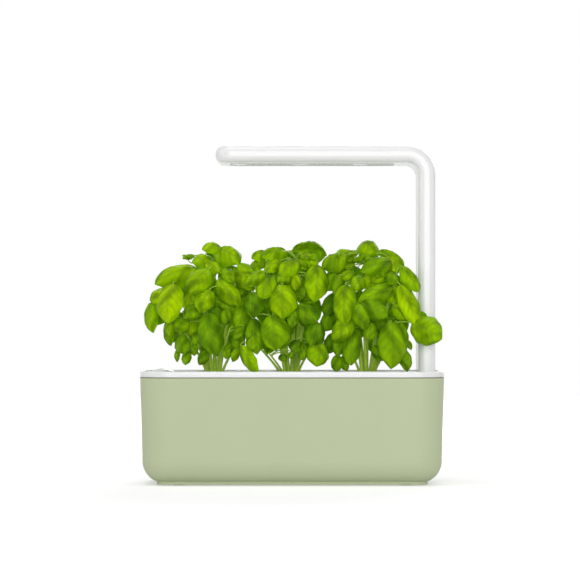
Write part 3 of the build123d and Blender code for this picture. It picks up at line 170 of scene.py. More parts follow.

# Each leaf: its base, its tip, its width, how far it bows out, and its tone from 0, deep, to 3, lime.
# Places are from the plant's crown, the middle of its soil's top.
# The deeper tones of the lower and inner leaves are partly their own colour and partly painted shade.
LEAVES = {
    "left": [
        ((7, -5, 130), (-12, -12, 130), 16, 4, 2),
        ((2, -5, 128), (26, -18, 116), 27, 6, 2),
        ((-17, -12, 109), (-58, -30, 95), 26, 8, 2),
        ((-40, -38, 94), (-45, -50, 56), 28, 5, 3),
        ((-5, -35, 108), (-24, -48, 84), 24, 5, 1.5),
        ((-4, -40, 88), (-13, -50, 66), 20, 4, 2),
        ((4, -30, 98), (25, -40, 73), 20, 4, 1.5),
        ((20, -17, 110), (40, -26, 88), 21, 5, 2),
        ((2, -23, 86), (21, -30, 66), 17, 3, 1),
        ((-6, -42, 65), (4, -52, 23), 25, 6, 0.8),
        ((-33, -40, 44), (-29, -46, 25), 16, 3, 1),
        ((-38, -28, 85), (-63, -34, 78), 22, 4, 2.5),
        ((-62, -26, 76), (-61, -34, 46), 16, 3, 1.5),
        ((35, -20, 85), (24, -29, 46), 22, 5, 1),
        ((30, -33, 51), (20, -38, 39), 10, 2, 1),
        ((-46, -30, 57), (-43, -36, 33), 12, 3, 1.2),
        ((-44, -38, 56), (-42, -42, 42), 10, 2, 1.5),
        ((-24, -32, 56), (-41, -38, 47), 16, 3, 1.5),
        ((-25, -36, 28), (-28, -40, 14), 10, 1.5, 1.2),
        ((-35, -34, 30), (-36, -38, 17), 6, 1.5, 1),
        ((-20, -34, 35), (-19, -38, 23), 8, 1.5, 1),
        ((-6, -31, 30), (-14, -36, 14), 11, 2, 0.6),
        ((-20, 0, 123), (-32, -4, 120), 9, 1.5, 1.5),
        ((0, -12, 116), (-22, -16, 117), 18, 5, 2),
        ((-8, -20, 115), (8, -30, 106), 14, 3, 2),
        ((8, -28, 109), (20, -34, 96), 14, 3, 1.5),
        ((-14, -36, 72), (-29, -42, 59), 16, 3, 1.2),
        ((-15, -34, 47), (-20, -38, 34), 12, 2, 1),
        ((16, -30, 34), (12, -35, 20), 10, 1.5, 1),
        ((26, -24, 48), (22, -31, 26), 14, 3, 0.8),
        ((24, -31, 30), (19, -36, 17), 9, 1.5, 1.2),
        ((14, -32, 70), (10, -38, 53), 12, 2, 1),
        ((42, -17, 56), (24, -24, 43), 15, 3, 0.6),
        ((24, -17, 114), (41, -24, 99), 16, 3, 1.6),
        ((26, -14, 98), (32, -20, 78), 16, 3, 1),
        ((-6, -14, 106), (-4, -22, 84), 16, 3, 1.2),
        ((-21, -20, 90), (-26, -27, 66), 18, 3, 3),
        ((8, -18, 80), (5, -26, 54), 17, 3, 0.8),
        ((-18, -18, 66), (-23, -25, 42), 17, 3, 2.6),
        ((-10, 25, 110), (-30, 46, 92), 28, 5, 1.5),
        ((8, 22, 112), (24, 42, 95), 26, 5, 1.5),
        ((-28, 20, 95), (-54, 32, 78), 26, 5, 1.5),
        ((16, 26, 88), (27, 46, 62), 22, 4, 1),
        ((-8, 38, 86), (-14, 54, 52), 28, 5, 1),
        ((-34, 26, 66), (-46, 42, 38), 22, 4, 1),
        ((8, 34, 60), (16, 52, 28), 24, 4, 0.8),
        ((-20, 34, 52), (-26, 48, 24), 20, 4, 0.8),
        ((24, 14, 70), (30, 26, 44), 14, 3, 1),
        ((0, 4, 126), (-6, 26, 118), 22, 5, 2),
        ((-30, 4, 108), (-54, 8, 94), 24, 5, 1.8),
        ((-42, 6, 80), (-62, 10, 54), 22, 4, 1.2),
        ((-36, 8, 56), (-47, 12, 34), 15, 3, 1),
        ((24, 2, 106), (33, 14, 90), 14, 3, 1.5),
    ],
    "middle": [
        ((2, 5, 127), (37, -4, 125), 28, 8, 1.8),
        ((-4, -8, 127), (-29, -18, 122), 21, 6, 1.6),
        ((-25, -2, 127), (-39, -6, 120), 17, 3, 2),
        ((-25, 1, 119), (-41, -4, 108), 16, 4, 2),
        ((9, -24, 116), (-11, -38, 104), 20, 5, 1.8),
        ((4, -20, 117), (18, -26, 110), 12, 3, 1.6),
        ((26, -30, 113), (24, -44, 77), 24, 5, 1.8),
        ((5, -30, 104), (5, -36, 87), 12, 3, 2.8),
        ((-8, -40, 93), (-9, -54, 60), 28, 5, 2.2),
        ((-16, -34, 101), (-32, -44, 80), 20, 4, 1.6),
        ((-37, -38, 86), (-36, -46, 60), 20, 4, 0.5),
        ((-18, -44, 63), (-15, -55, 29), 30, 6, 1),
        ((7, -36, 73), (25, -46, 56), 20, 4, 1),
        ((3, -44, 68), (1, -50, 51), 12, 2, 1),
        ((27, -40, 56), (22, -50, 31), 20, 4, 0.6),
        ((27, -42, 38), (26, -50, 13), 23, 5, 1.6),
        ((-49, -45, 33), (-33, -51, 6), 15, 4, 1.6),
        ((-38, -44, 43), (-38, -51, 29), 12, 2, 1),
        ((6, -36, 39), (5, -42, 26), 14, 2, 0.6),
        ((-7, -36, 25), (-8, -40, 17), 9, 1.5, 0.8),
        ((0, -40, 27), (1, -42, 20), 8, 1.5, 0.8),
        ((14, -36, 36), (11, -42, 19), 10, 2, 0.8),
        ((0, -38, 38), (-13, -44, 30), 8, 1.5, 0.8),
        ((0, -32, 104), (-13, -38, 95), 14, 3, 1.5),
        ((-10, -22, 117), (-25, -28, 106), 14, 3, 2),
        ((11, -19, 124), (27, -26, 113), 16, 3, 1.8),
        ((-2, -22, 106), (-3, -31, 84), 17, 3, 1.3),
        ((9, -22, 102), (12, -30, 74), 18, 3, 1.1),
        ((-19, -20, 94), (-23, -28, 70), 17, 3, 1),
        ((-6, -24, 66), (-2, -31, 42), 18, 3, 0.7),
        ((14, -24, 74), (17, -30, 50), 16, 3, 0.7),
        ((9, -28, 78), (27, -32, 78), 10, 2, 1),
        ((-37, -37, 60), (-34, -46, 25), 19, 4, 0.8),
        ((-26, -36, 106), (-45, -42, 92), 15, 3, 1.6),
        ((-8, 24, 112), (-24, 44, 96), 26, 5, 1.5),
        ((10, 22, 112), (24, 44, 94), 26, 5, 1.5),
        ((0, 6, 126), (2, 28, 118), 26, 6, 2),
        ((-4, 38, 88), (-8, 55, 56), 28, 5, 1),
        ((20, 26, 84), (25, 46, 56), 20, 4, 1),
        ((-22, 26, 80), (-28, 46, 54), 20, 4, 1),
        ((6, 36, 56), (10, 54, 24), 26, 5, 0.8),
        ((-16, 32, 52), (-24, 46, 24), 20, 4, 0.8),
        ((20, 24, 50), (26, 36, 24), 16, 3, 0.8),
        ((-24, 6, 100), (-31, 14, 80), 14, 3, 1.4),
        ((24, 6, 100), (32, 14, 82), 14, 3, 1.4),
    ],
    "right": [
        ((3, 2, 138), (1, -14, 123), 25, 4, 2),
        ((-9, 0, 127), (-25, -8, 119), 13, 3, 2),
        ((25, -22, 114), (-6, -34, 108), 20, 7, 1.2),
        ((13, -6, 128), (38, -12, 112), 17, 4, 1.6),
        ((34, -35, 111), (50, -44, 86), 17, 3, 1.4),
        ((32, -40, 93), (50, -48, 51), 20, 4, 2.6),
        ((43, -46, 55), (72, -53, 40), 29, 5, 1.6),
        ((51, -40, 66), (58, -43, 62), 4, 1, 1),
        ((-22, -38, 93), (-24, -50, 54), 23, 6, 1.8),
        ((25, -34, 91), (-10, -46, 74), 20, 5, 1.2),
        ((-8, -44, 76), (19, -54, 62), 20, 4, 0.9),
        ((-10, -46, 74), (-4, -54, 49), 18, 4, 1.2),
        ((23, -44, 57), (23, -55, 11), 29, 6, 1),
        ((-15, -42, 48), (-17, -50, 14), 19, 4, 0.8),
        ((-16, -42, 61), (-34, -50, 38), 20, 4, 1.4),
        ((2, -46, 56), (2, -50, 39), 14, 2, 1.2),
        ((-30, -37, 24), (-31, -41, 7), 12, 2, 0.9),
        ((-27, -37, 46), (-30, -44, 22), 13, 2, 0.7),
        ((-25, -36, 23), (-21, -40, 8), 10, 2, 0.9),
        ((34, -40, 30), (39, -46, 8), 13, 2, 1.2),
        ((38, -36, 39), (43, -40, 29), 6, 1, 1),
        ((26, -36, 73), (39, -42, 57), 16, 3, 1.5),
        ((32, -38, 56), (36, -44, 27), 14, 3, 1.1),
        ((5, -38, 33), (15, -42, 18), 12, 2, 0.6),
        ((-6, -30, 101), (-14, -38, 87), 16, 3, 1.6),
        ((-14, -22, 107), (-26, -30, 99), 12, 2, 1.6),
        ((-13, -8, 125), (-31, -14, 125), 13, 3, 2.3),
        ((-28, -30, 103), (-31, -37, 81), 11, 3, 0.8),
        ((19, -28, 107), (29, -34, 93), 14, 3, 1.2),
        ((22, -26, 101), (4, -34, 97), 10, 2, 1.6),
        ((2, -16, 108), (5, -24, 86), 17, 3, 2.7),
        ((20, -14, 122), (30, -23, 104), 16, 3, 2.4),
        ((24, -18, 96), (28, -26, 72), 17, 3, 2.6),
        ((8, -26, 70), (15, -34, 44), 19, 3, 0.8),
        ((-12, -24, 60), (-10, -31, 38), 16, 3, 0.7),
        ((-12, -20, 113), (-24, -22, 111), 9, 1.5, 1),
        ((-20, -18, 123), (-45, -24, 110), 23, 5, 1.2),
        ((-24, -18, 109), (-43, -24, 88), 22, 4, 0.9),
        ((-30, -17, 85), (-42, -23, 62), 18, 3, 0.7),
        ((-33, -17, 68), (-43, -23, 47), 17, 3, 0.6),
        ((-30, -18, 46), (-40, -24, 25), 16, 3, 0.5),
        ((-8, 24, 112), (-22, 44, 96), 26, 5, 1.5),
        ((10, 22, 112), (26, 42, 94), 24, 5, 1.5),
        ((0, 10, 128), (4, 30, 118), 24, 5, 2),
        ((-4, 38, 88), (-8, 55, 56), 28, 5, 1),
        ((20, 28, 84), (34, 46, 56), 22, 4, 1),
        ((-20, 26, 80), (-26, 46, 54), 20, 4, 1),
        ((8, 36, 56), (14, 54, 24), 26, 5, 0.8),
        ((-16, 32, 52), (-22, 46, 24), 18, 4, 0.8),
        ((22, 24, 50), (32, 38, 26), 18, 3, 0.8),
        ((-24, 6, 98), (-31, 14, 78), 13, 3, 1.4),
        ((26, 4, 104), (39, 12, 84), 18, 4, 1.5),
        ((28, 2, 70), (41, 8, 48), 16, 3, 1.2),
    ],
}
# The top of each stem, from the crown
STEMS = {
    "left": [
        (0, -6, 116),
        (-34, -20, 90),
        (22, -22, 98),
        (-10, -34, 70),
        (16, -26, 50),
        (-26, -24, 42),
        (26, -26, 40),
        (-24, 18, 88),
        (12, 26, 92),
    ],
    "middle": [
        (6, -6, 118),
        (-24, -22, 96),
        (22, -24, 100),
        (-8, -36, 66),
        (20, -32, 48),
        (-34, -32, 34),
        (-22, -34, 26),
        (24, -30, 36),
        (-14, 24, 90),
        (14, 26, 90),
    ],
    "right": [
        (0, -4, 122),
        (-20, -24, 96),
        (26, -26, 92),
        (-4, -38, 62),
        (24, -34, 52),
        (-24, -30, 40),
        (24, -30, 36),
        (-12, 24, 90),
        (18, 24, 92),
    ],
}
# Each sprig of young leaves: where it grows, how long its leaves are, and their tone
SPRIGS = {
    "left": [
        ((-26, -6, 119), 7, 1.2),
        ((-22, -24, 97), 8, 0.6),
        ((8, -24, 104), 8, 2.2),
        ((0, -30, 74), 9, 1),
        ((17, -29, 30), 6, 1.2),
        ((-9, -28, 28), 7, 0.8),
        ((-17, -26, 60), 8, 1.4),
        ((30, -17, 100), 8, 2.2),
    ],
    "middle": [
        ((20, -26, 118), 9, 1.8),
        ((17, -24, 110), 9, 1.4),
        ((9, -30, 34), 7, 1),
        ((-26, -12, 112), 9, 2.2),
        ((-4, -32, 70), 8, 1),
        ((-28, -30, 30), 6, 1.4),
        ((14, -32, 80), 9, 1.2),
        ((20, -30, 30), 6, 1.2),
    ],
    "right": [
        ((-15, -14, 116), 11, 1.6),
        ((-31, -20, 119), 9, 1.4),
        ((-22, -18, 108), 9, 1.2),
        ((-4, -20, 118), 9, 1.8),
        ((21, -32, 33), 7, 0.8),
        ((30, -34, 27), 6, 1),
        ((12, -28, 100), 9, 2),
        ((-20, -36, 44), 8, 0.8),
        ((28, -28, 62), 9, 1.2),
    ],
}

# Materials ---------------------------------------------------------------------------------------


class Tree:
    """A node tree under construction, with short ways to add and join its nodes."""

    def __init__(self, tree):
        self.nodes = tree.nodes
        self.links = tree.links

    def add(self, kind, **values):
        node = self.nodes.new(kind)
        for key, value in values.items():
            setattr(node, key, value)
        return node

    def join(self, out, to):
        self.links.new(out, to)

    def combine(self, operation, a, b):
        """What an operation makes of two values, each a socket or a number."""
        node = self.add("ShaderNodeMath", operation=operation)
        for socket, value in zip(node.inputs, (a, b)):
            if isinstance(value, (int, float)):
                socket.default_value = value
            else:
                self.join(value, socket)
        return node.outputs["Value"]

    def stretch(self, value, low, high, to_low=0.0, to_high=1.0):
        """A smooth step of a value from one range to another."""
        node = self.add("ShaderNodeMapRange", interpolation_type="SMOOTHSTEP")
        names = ("From Min", "From Max", "To Min", "To Max")
        for key, number in zip(names, (low, high, to_low, to_high)):
            node.inputs[key].default_value = number
        self.join(value, node.inputs["Value"])
        return node.outputs["Result"]

    def showing(self):
        """1 for the rays that show the white surroundings: from the camera, from gloss and through glass."""
        path = self.add("ShaderNodeLightPath")
        seen = self.combine("MAXIMUM", path.outputs["Is Camera Ray"], path.outputs["Is Transmission Ray"])
        return self.combine("MAXIMUM", seen, path.outputs["Is Glossy Ray"])


class Look(Tree):
    """A material under construction."""

    def __init__(self, name, colour, roughness, metallic=0.0, specular=0.5):
        self.material = bpy.data.materials.new(name)
        self.material.use_nodes = True
        super().__init__(self.material.node_tree)
        self.shader = self.nodes["Principled BSDF"]
        self.output = self.nodes["Material Output"]
        self.set("Base Color", (*colour, 1))
        self.set("Roughness", roughness)
        self.set("Metallic", metallic)
        self.set("Specular IOR Level", specular)

    def set(self, name, value):
        self.shader.inputs[name].default_value = value

    def place(self):
        """Object coordinates, which are metres in the row frame."""
        return self.add("ShaderNodeTexCoord").outputs["Object"]

    def noise(self, scale, detail=3.0, rough=0.5, place=None):
        node = self.add("ShaderNodeTexNoise")
        node.inputs["Scale"].default_value = scale
        node.inputs["Detail"].default_value = detail
        node.inputs["Roughness"].default_value = rough
        self.join(place or self.place(), node.inputs["Vector"])
        return node.outputs["Fac"]

    def cells(self, feature, scale):
        """Distances in a pattern of irregular cells."""
        node = self.add("ShaderNodeTexVoronoi", feature=feature)
        node.inputs["Scale"].default_value = scale
        self.join(self.place(), node.inputs["Vector"])
        return node.outputs["Distance"]

    def mix(self, share, a, b, blend="MIX"):
        """A mix of two colours, each a socket or a colour."""
        node = self.add("ShaderNodeMix", data_type="RGBA", blend_type=blend)
        inputs = {socket.identifier: socket for socket in node.inputs}
        for name, value in (("Factor_Float", share), ("A_Color", a), ("B_Color", b)):
            if isinstance(value, (int, float)):
                inputs[name].default_value = value
            elif isinstance(value, tuple):
                inputs[name].default_value = (*value, 1)
            else:
                self.join(value, inputs[name])
        return next(s for s in node.outputs if s.identifier == "Result_Color")

    def ramp(self, value, stops):
        """A band of colours over a value, from stops in rising order."""
        node = self.add("ShaderNodeValToRGB")
        band = node.color_ramp
        for at, _ in stops[1:-1]:
            band.elements.new(at)
        for element, (at, colour) in zip(band.elements, stops):
            element.position = at
            element.color = (*colour, 1)
        self.join(value, node.inputs["Fac"])
        return node.outputs["Color"]

    def attribute(self, name):
        return self.add("ShaderNodeAttribute", attribute_name=name).outputs["Fac"]

    def bump(self, height, distance, strength=1.0):
        node = self.add("ShaderNodeBump")
        node.inputs["Strength"].default_value = strength
        node.inputs["Distance"].default_value = distance
        self.join(height, node.inputs["Height"])
        self.join(node.outputs["Normal"], self.shader.inputs["Normal"])
        return node.outputs["Normal"]

    def colour(self, socket):
        self.paint = socket
        self.join(socket, self.shader.inputs["Base Color"])

    def rough(self, socket):
        self.join(socket, self.shader.inputs["Roughness"])


def moulded(name, colour, roughness, grain=2600, depth=0.00002, specular=0.4, drift=0.03, coat=0.0):
    """Moulded plastic: a fine grain, a slow drift of the colour, and gloss that is a little uneven."""
    look = Look(name, colour, roughness, specular=specular)
    look.set("Coat Weight", coat)
    look.set("Coat Roughness", 0.08)
    darker = tuple(c * (1 - drift) for c in colour)
    paler = tuple(min(1.0, c * (1 + drift)) for c in colour)
    look.colour(look.mix(look.noise(14, 2), darker, paler))
    look.rough(look.stretch(look.noise(60, 3), 0.3, 0.7, roughness * 0.97, roughness * 1.05))
    look.bump(look.noise(grain, 2), depth)
    return look


def green_plastic():
    """The tub's green plastic, with painted shade that darkens it in the shadow gap along its top edge."""
    look = moulded("green_look", (0.53, 0.592, 0.377), 0.5, specular=0.3)
    height = look.add("ShaderNodeSeparateXYZ")
    look.join(look.place(), height.inputs[0])
    # Painted shade: a dark band along the top edge, where the shadow gap under the lid is
    seam_shade = look.stretch(height.outputs["Z"], TUB_TOP - SEAM_SHADE_START, TUB_TOP - SEAM_SHADE_FULL)
    look.colour(look.mix(seam_shade, look.paint, (0.16, 0.16, 0.11)))
    return look


def metal(name, colour, roughness, drawn=(1, 1, 30)):
    """Metal with fine drawn lines."""
    look = Look(name, colour, roughness, metallic=1.0)
    mapping = look.add("ShaderNodeMapping")
    mapping.inputs["Scale"].default_value = drawn
    look.join(look.place(), mapping.inputs["Vector"])
    lines = look.noise(900, 3, place=mapping.outputs["Vector"])
    look.rough(look.stretch(lines, 0.3, 0.7, roughness - 0.06, roughness + 0.1))
    look.bump(lines, 0.00001)
    return look


def circuit_board():
    """Green lacquer over paler tracks."""
    lacquer, track = (0.02, 0.16, 0.07), (0.05, 0.26, 0.12)
    look = Look("board_look", lacquer, 0.35)
    tracks = look.add("ShaderNodeTexBrick")
    tracks.inputs["Scale"].default_value = 180
    tracks.inputs["Mortar Size"].default_value = 0.03
    look.join(look.place(), tracks.inputs["Vector"])
    look.colour(look.mix(tracks.outputs["Fac"], lacquer, track))
    look.bump(look.noise(1800, 1), 0.00002)
    return look


def lens_plastic():
    """Glossy milky plastic with a faint pattern, which blurs the light inside it."""
    look = Look("lens_look", (0.92, 0.92, 0.9), 0.07, specular=0.6)
    look.set("Subsurface Weight", 0.3)
    look.set("Subsurface Radius", (0.004, 0.004, 0.004))
    look.bump(look.cells("F1", 700), 0.00005, 0.2)
    look.rough(look.stretch(look.noise(300), 0.3, 0.7, 0.05, 0.09))
    return look


def led_plastic():
    """Yellow phosphor over the LED chips."""
    look = Look("led_look", (0.85, 0.68, 0.2), 0.3)
    grains = look.noise(900, 1)
    look.colour(look.mix(grains, (0.85, 0.66, 0.16), (0.95, 0.8, 0.32)))
    look.bump(grains, 0.00003)
    return look


def felt():
    """The wicks' pale felt."""
    look = Look("felt_look", (0.72, 0.71, 0.66), 0.95, specular=0.1)
    look.set("Sheen Weight", 0.4)
    fibres = look.noise(1500, 6, 0.7)
    look.colour(look.mix(fibres, (0.58, 0.57, 0.52), (0.82, 0.81, 0.77)))
    look.bump(fibres, 0.0003)
    return look


def soil():
    """Dark crumbly growing medium, with a tone of its own for each crumb and pale grains of perlite."""
    look = Look("soil_look", (0.04, 0.025, 0.015), 0.95, specular=0.15)
    earth = look.ramp(look.noise(500, 6, 0.65), [(0.25, (0.012, 0.008, 0.005)), (0.75, (0.11, 0.07, 0.042))])
    crumb = look.attribute("crumb_tone")
    earth = look.mix(look.stretch(crumb, 0.0, 0.6), earth, (0.085, 0.05, 0.028))
    look.colour(look.mix(look.stretch(crumb, 0.85, 0.9), earth, (0.62, 0.6, 0.54)))
    look.bump(look.noise(1100, 5, 0.6), 0.0006)
    return look


def leaf_body(look, cloudy):
    """A leaf's green, deep to lime by its tone, darkened by its painted light and shade and by a slow
    cloudiness.
    """
    greens = [
        (0.0, (0.08, 0.21, 0.002)),
        (0.3, (0.23, 0.47, 0.004)),
        (0.5, (0.41, 0.69, 0.002)),
        (0.72, (0.56, 0.84, 0.0)),
        (1.0, (0.72, 0.97, 0.0)),
    ]
    painted_shades = [(0.0, (0.27, 0.33, 0.3)), (0.5, (0.64, 0.68, 0.62)), (1.0, (1.0, 1.0, 1.0))]
    body = look.ramp(look.combine("DIVIDE", look.attribute("leaf_tone"), 3), greens)
    body = look.mix(1.0, body, look.ramp(look.attribute("leaf_light"), painted_shades), "MULTIPLY")
    duller = look.mix(0.6, body, (0.7, 0.77, 0.5), "MULTIPLY")
    return look.mix(look.stretch(cloudy, 0.3, 0.75), body, duller)


def leaf():
    """A basil leaf: satin, paler below, with a midrib and side veins in troughs of painted shade, and a
    painted highlight along its rim. Light comes through it.
    """
    look = Look("leaf_look", (0.2, 0.4, 0.0), 0.38, specular=0.18)
    look.set("Specular Tint", (0.75, 1.0, 0.2, 1))
    rib = look.attribute("leaf_rib")
    edge = look.attribute("leaf_edge")
    cloudy = look.noise(160, 3, 0.55)
    body = leaf_body(look, cloudy)
    # The side veins fade towards the edge. They and the midrib lie in troughs, darkened with painted shade.
    near_vein = look.combine("PINGPONG", look.attribute("leaf_phase"), 0.5)
    fade = look.stretch(edge, 0.3, 4.0)
    vein = look.combine("MULTIPLY", look.stretch(near_vein, 0.02, 0.075, 1.0, 0.0), fade)
    vein_groove_shade = look.combine("MULTIPLY", look.stretch(near_vein, 0.0, 0.3, 1.0, 0.0), fade)
    midrib = look.stretch(rib, 0.2, 0.6, 1.0, 0.0)
    midrib_groove_shade = look.stretch(rib, 0.4, 1.7, 0.5, 0.0)
    groove_shade = look.combine("MAXIMUM", look.combine("MULTIPLY", vein_groove_shade, 0.45), midrib_groove_shade)
    lines = look.combine("MAXIMUM", midrib, look.combine("MULTIPLY", vein, 0.5))
    groove_shaded = look.mix(1.0, body, (0.42, 0.56, 0.35), "MULTIPLY")
    body = look.mix(look.combine("MULTIPLY", groove_shade, 0.6), body, groove_shaded)
    veined = look.mix(0.4, body, (0.55, 0.76, 0.08))
    above = look.mix(look.combine("MULTIPLY", lines, 0.6), body, veined)
    below = look.mix(0.4, body, (0.33, 0.5, 0.02))
    both = look.mix(look.stretch(look.attribute("leaf_side"), 0.4, 0.6), below, above)
    # A painted highlight: a pale rim along the blade's edge
    painted_rim_highlight = look.stretch(edge, 0.2, 1.0, 1.0, 0.0)
    both = look.mix(look.combine("MULTIPLY", painted_rim_highlight, 0.25), both, (0.6, 0.85, 0.03))
    look.colour(both)
    look.rough(look.stretch(cloudy, 0.3, 0.75, 0.32, 0.46))
    # The finest veins are a net of shallow lines
    net = look.stretch(look.cells("DISTANCE_TO_EDGE", 420), 0.0, 0.12, 1.0, 0.0)
    height = look.combine("ADD", look.combine("MULTIPLY", net, -0.15), look.combine("MULTIPLY", lines, -0.8))
    normal = look.bump(height, 0.0004, 0.8)
    # More light comes through the thin edge
    through = look.add("ShaderNodeBsdfTranslucent")
    look.join(look.mix(0.45, both, (0.45, 0.8, 0.0)), through.inputs["Color"])
    look.join(normal, through.inputs["Normal"])
    share = look.add("ShaderNodeMixShader")
    look.join(look.stretch(edge, 0.3, 3.0, 0.5, 0.32), share.inputs["Fac"])
    look.join(look.shader.outputs["BSDF"], share.inputs[1])
    look.join(through.outputs["BSDF"], share.inputs[2])
    look.join(share.outputs["Shader"], look.output.inputs["Surface"])
    return look


def stem():
    """Fresh green stalks, paler along their ridges and towards the soil."""
    look = Look("stem_look", (0.3, 0.5, 0.03), 0.45, specular=0.3)
    look.set("Specular Tint", (0.85, 1.0, 0.5, 1))
    look.set("Subsurface Weight", 0.25)
    look.set("Subsurface Radius", (0.002, 0.003, 0.0005))
    ridges = look.noise(700, 2)
    greens = [(0.0, (0.25, 0.46, 0.02)), (1.0, (0.64, 0.84, 0.12))]
    green = look.ramp(look.attribute("stem_tone"), greens)
    paler = look.mix(0.3, green, (0.7, 0.9, 0.12))
    look.colour(look.mix(look.stretch(ridges, 0.35, 0.7), green, paler))
    look.bump(ridges, 0.0001)
    return look


SLOT_LOOKS = {
    "green_plastic": green_plastic(),
    "white_plastic": moulded(
        "white_look", (0.86, 0.86, 0.86), 0.4, depth=0.00001, drift=0.004, coat=0.6
    ),
    "rubber_dark": moulded(
        "rubber_look", (0.03, 0.03, 0.03), 0.85, grain=1400, depth=0.00006, specular=0.2, drift=0.2
    ),
    "grey_plastic": moulded("grey_look", (0.3, 0.31, 0.31), 0.5, drift=0.06),
    "black_plastic": moulded(
        "black_look", (0.022, 0.022, 0.022), 0.55, grain=1600, depth=0.00005, drift=0.15
    ),
    "steel": metal("steel_look", (0.6, 0.6, 0.58), 0.3),
    "contact_brass": metal("brass_look", (0.78, 0.55, 0.2), 0.25),
    "board_green": circuit_board(),
    "wire_black": moulded(
        "wire_look", (0.025, 0.025, 0.025), 0.6, grain=1800, depth=0.00003, drift=0.15
    ),
    "sink_aluminium": metal("aluminium_look", (0.8, 0.8, 0.8), 0.35, drawn=(30, 1, 1)),
    "lens_plastic": lens_plastic(),
    "led_plastic": led_plastic(),
    "soil": soil(),
    "wick_fabric": felt(),
}
# The lamp's cover is matte where the rest of the white plastic is glossy
NODE_LOOKS = {
    "lamp_cover": moulded(
        "cover_look", (0.88, 0.88, 0.88), 0.65, depth=0.00001, specular=0.2, drift=0.004
    ),
}
LEAF_LOOK = leaf()
STEM_LOOK = stem()

for part in frame["record"]["subparts"]:
    look = NODE_LOOKS.get(part["node"], SLOT_LOOKS.get(part["material_slot"]))
    if look:
        node = frame["nodes"][part["node"]]
        node.data.materials.clear()
        node.data.materials.append(look.material)

# Meshes ------------------------------------------------------------------------------------------


class Pile:
    """Collects the faces of many small forms into one mesh, with a number or more for each point."""

    def __init__(self, *names):
        self.points = []
        self.faces = []
        self.flat = []
        self.count = 0
        self.values = {name: [] for name in names}

    def add(self, points, faces, flat, **values):
        """Adds a form, whose faces are flat or smooth, all alike or by a list."""
        self.points.append(points)
        self.faces += [tuple(i + self.count for i in face) for face in faces]
        self.flat += [flat] * len(faces) if isinstance(flat, bool) else list(flat)
        self.count += len(points)
        for name, rows in self.values.items():
            rows.append(np.broadcast_to(np.asarray(values[name], float), (len(points),)))

    def build(self, name, look):
        mesh = bpy.data.meshes.new(name)
        mesh.from_pydata((np.concatenate(self.points) * MM).tolist(), [], self.faces)
        for key, rows in self.values.items():
            layer = mesh.attributes.new(key, "FLOAT", "POINT")
            layer.data.foreach_set("value", np.concatenate(rows).astype(np.float32))
        mesh.polygons.foreach_set("use_smooth", [not flat for flat in self.flat])
        mesh.materials.append(look.material)
        mesh.validate()
        mesh.update()
        piece = bpy.data.objects.new(name, mesh)
        bpy.context.scene.collection.objects.link(piece)
        return piece


def unit(vector):
    return vector / np.linalg.norm(vector)


def grid_faces(rows, columns, start=0, flip=False):
    """Quads of a grid of points, row by row."""
    faces = []
    for i in range(rows - 1):
        for j in range(columns - 1):
            a = start + i * columns + j
            quad = (a, a + columns, a + columns + 1, a + 1)
            faces.append(quad[::-1] if flip else quad)
    return faces


def rim_faces(rows, columns):
    """Quads that close the rim between an upper grid of points and a lower one that follows it."""
    below = rows * columns
    last_row = (rows - 1) * columns
    rims = []
    for i in range(rows - 1):
        a, b = i * columns, (i + 1) * columns
        rims.append((a, a + below, b + below, b))
        a, b = a + columns - 1, b + columns - 1
        rims.append((b, b + below, a + below, a))
    for j in range(columns - 1):
        rims.append((j + 1, j + 1 + below, j + below, j))
        a = last_row + j
        rims.append((a, a + below, a + 1 + below, a + 1))
    return rims


# Leaves ------------------------------------------------------------------------------------------


def blade_axes(base, tip):
    """A blade's length and its axes: along it, across it, and out of its upper face."""
    run = tip - base
    length = np.linalg.norm(run)
    x = run / length
    middle = base + run / 2
    heart = np.array((0, math.copysign(HEART_DEPTH, -middle[1]), HEART_HEIGHT))
    outward = (middle - heart) * FACING
    z = unit(outward - x * outward.dot(x))
    return length, x, np.cross(z, x), z


def blade_form(length, width, habit):
    """A blade's points before it is bent: u from base to tip, v across, and what is worked out from them.

    along and across are distances from its base and middle line, and rib and edge from its midrib and its
    edge. phase counts the side veins, quilt is low along each of them, and swell fades at base and tip.
    """
    rows = int(np.clip(length / ROW_PITCH, LEAST_ROWS, MOST_ROWS))
    columns = 2 * int(np.clip(width / COLUMN_PITCH, LEAST_COLUMNS, MOST_COLUMNS))
    t = np.linspace(0, 1, rows + 1)
    u = (0.55 * t + 0.45 * (1 - np.cos(math.pi * t)) / 2)[:, None]
    v = np.linspace(-1, 1, columns + 1)[None, :]
    v = np.sign(v) * np.abs(v) ** 0.85
    # Rounded at the base and drawn out to a soft point
    shape = u**0.46 * (1 - u) ** 0.7 * (1 + 0.5 * u) / 0.55
    point = 0.03 + (1 - u) * habit.bluntness
    shape = shape * point / (shape**5 + point**5) ** 0.2
    half = np.maximum(width / 2 * shape, LEAST_HALF_WIDTH)
    edge_wave = np.sin(2 * math.pi * (3.1 * u + habit.wave_a + 0.3 * np.sign(v)))
    # Whole at each side vein
    phase = (VEIN_PAIRS + 0.5 * round(habit.more_veins)) * u - 1.5 * np.abs(v) ** 1.15 + 0.25 * (v > 0)
    return SimpleNamespace(
        u=u,
        v=v,
        along=u * length,
        across=v * half * (1 + EDGE_WAVE * edge_wave),
        rib=np.abs(v) * half,
        edge=(1 - np.abs(v)) * half,
        phase=phase,
        quilt=np.abs(np.sin(math.pi * phase)) ** 0.7 - 0.6,
        swell=np.sin(math.pi * np.clip(u, 0, 1)) ** 0.6,
    )


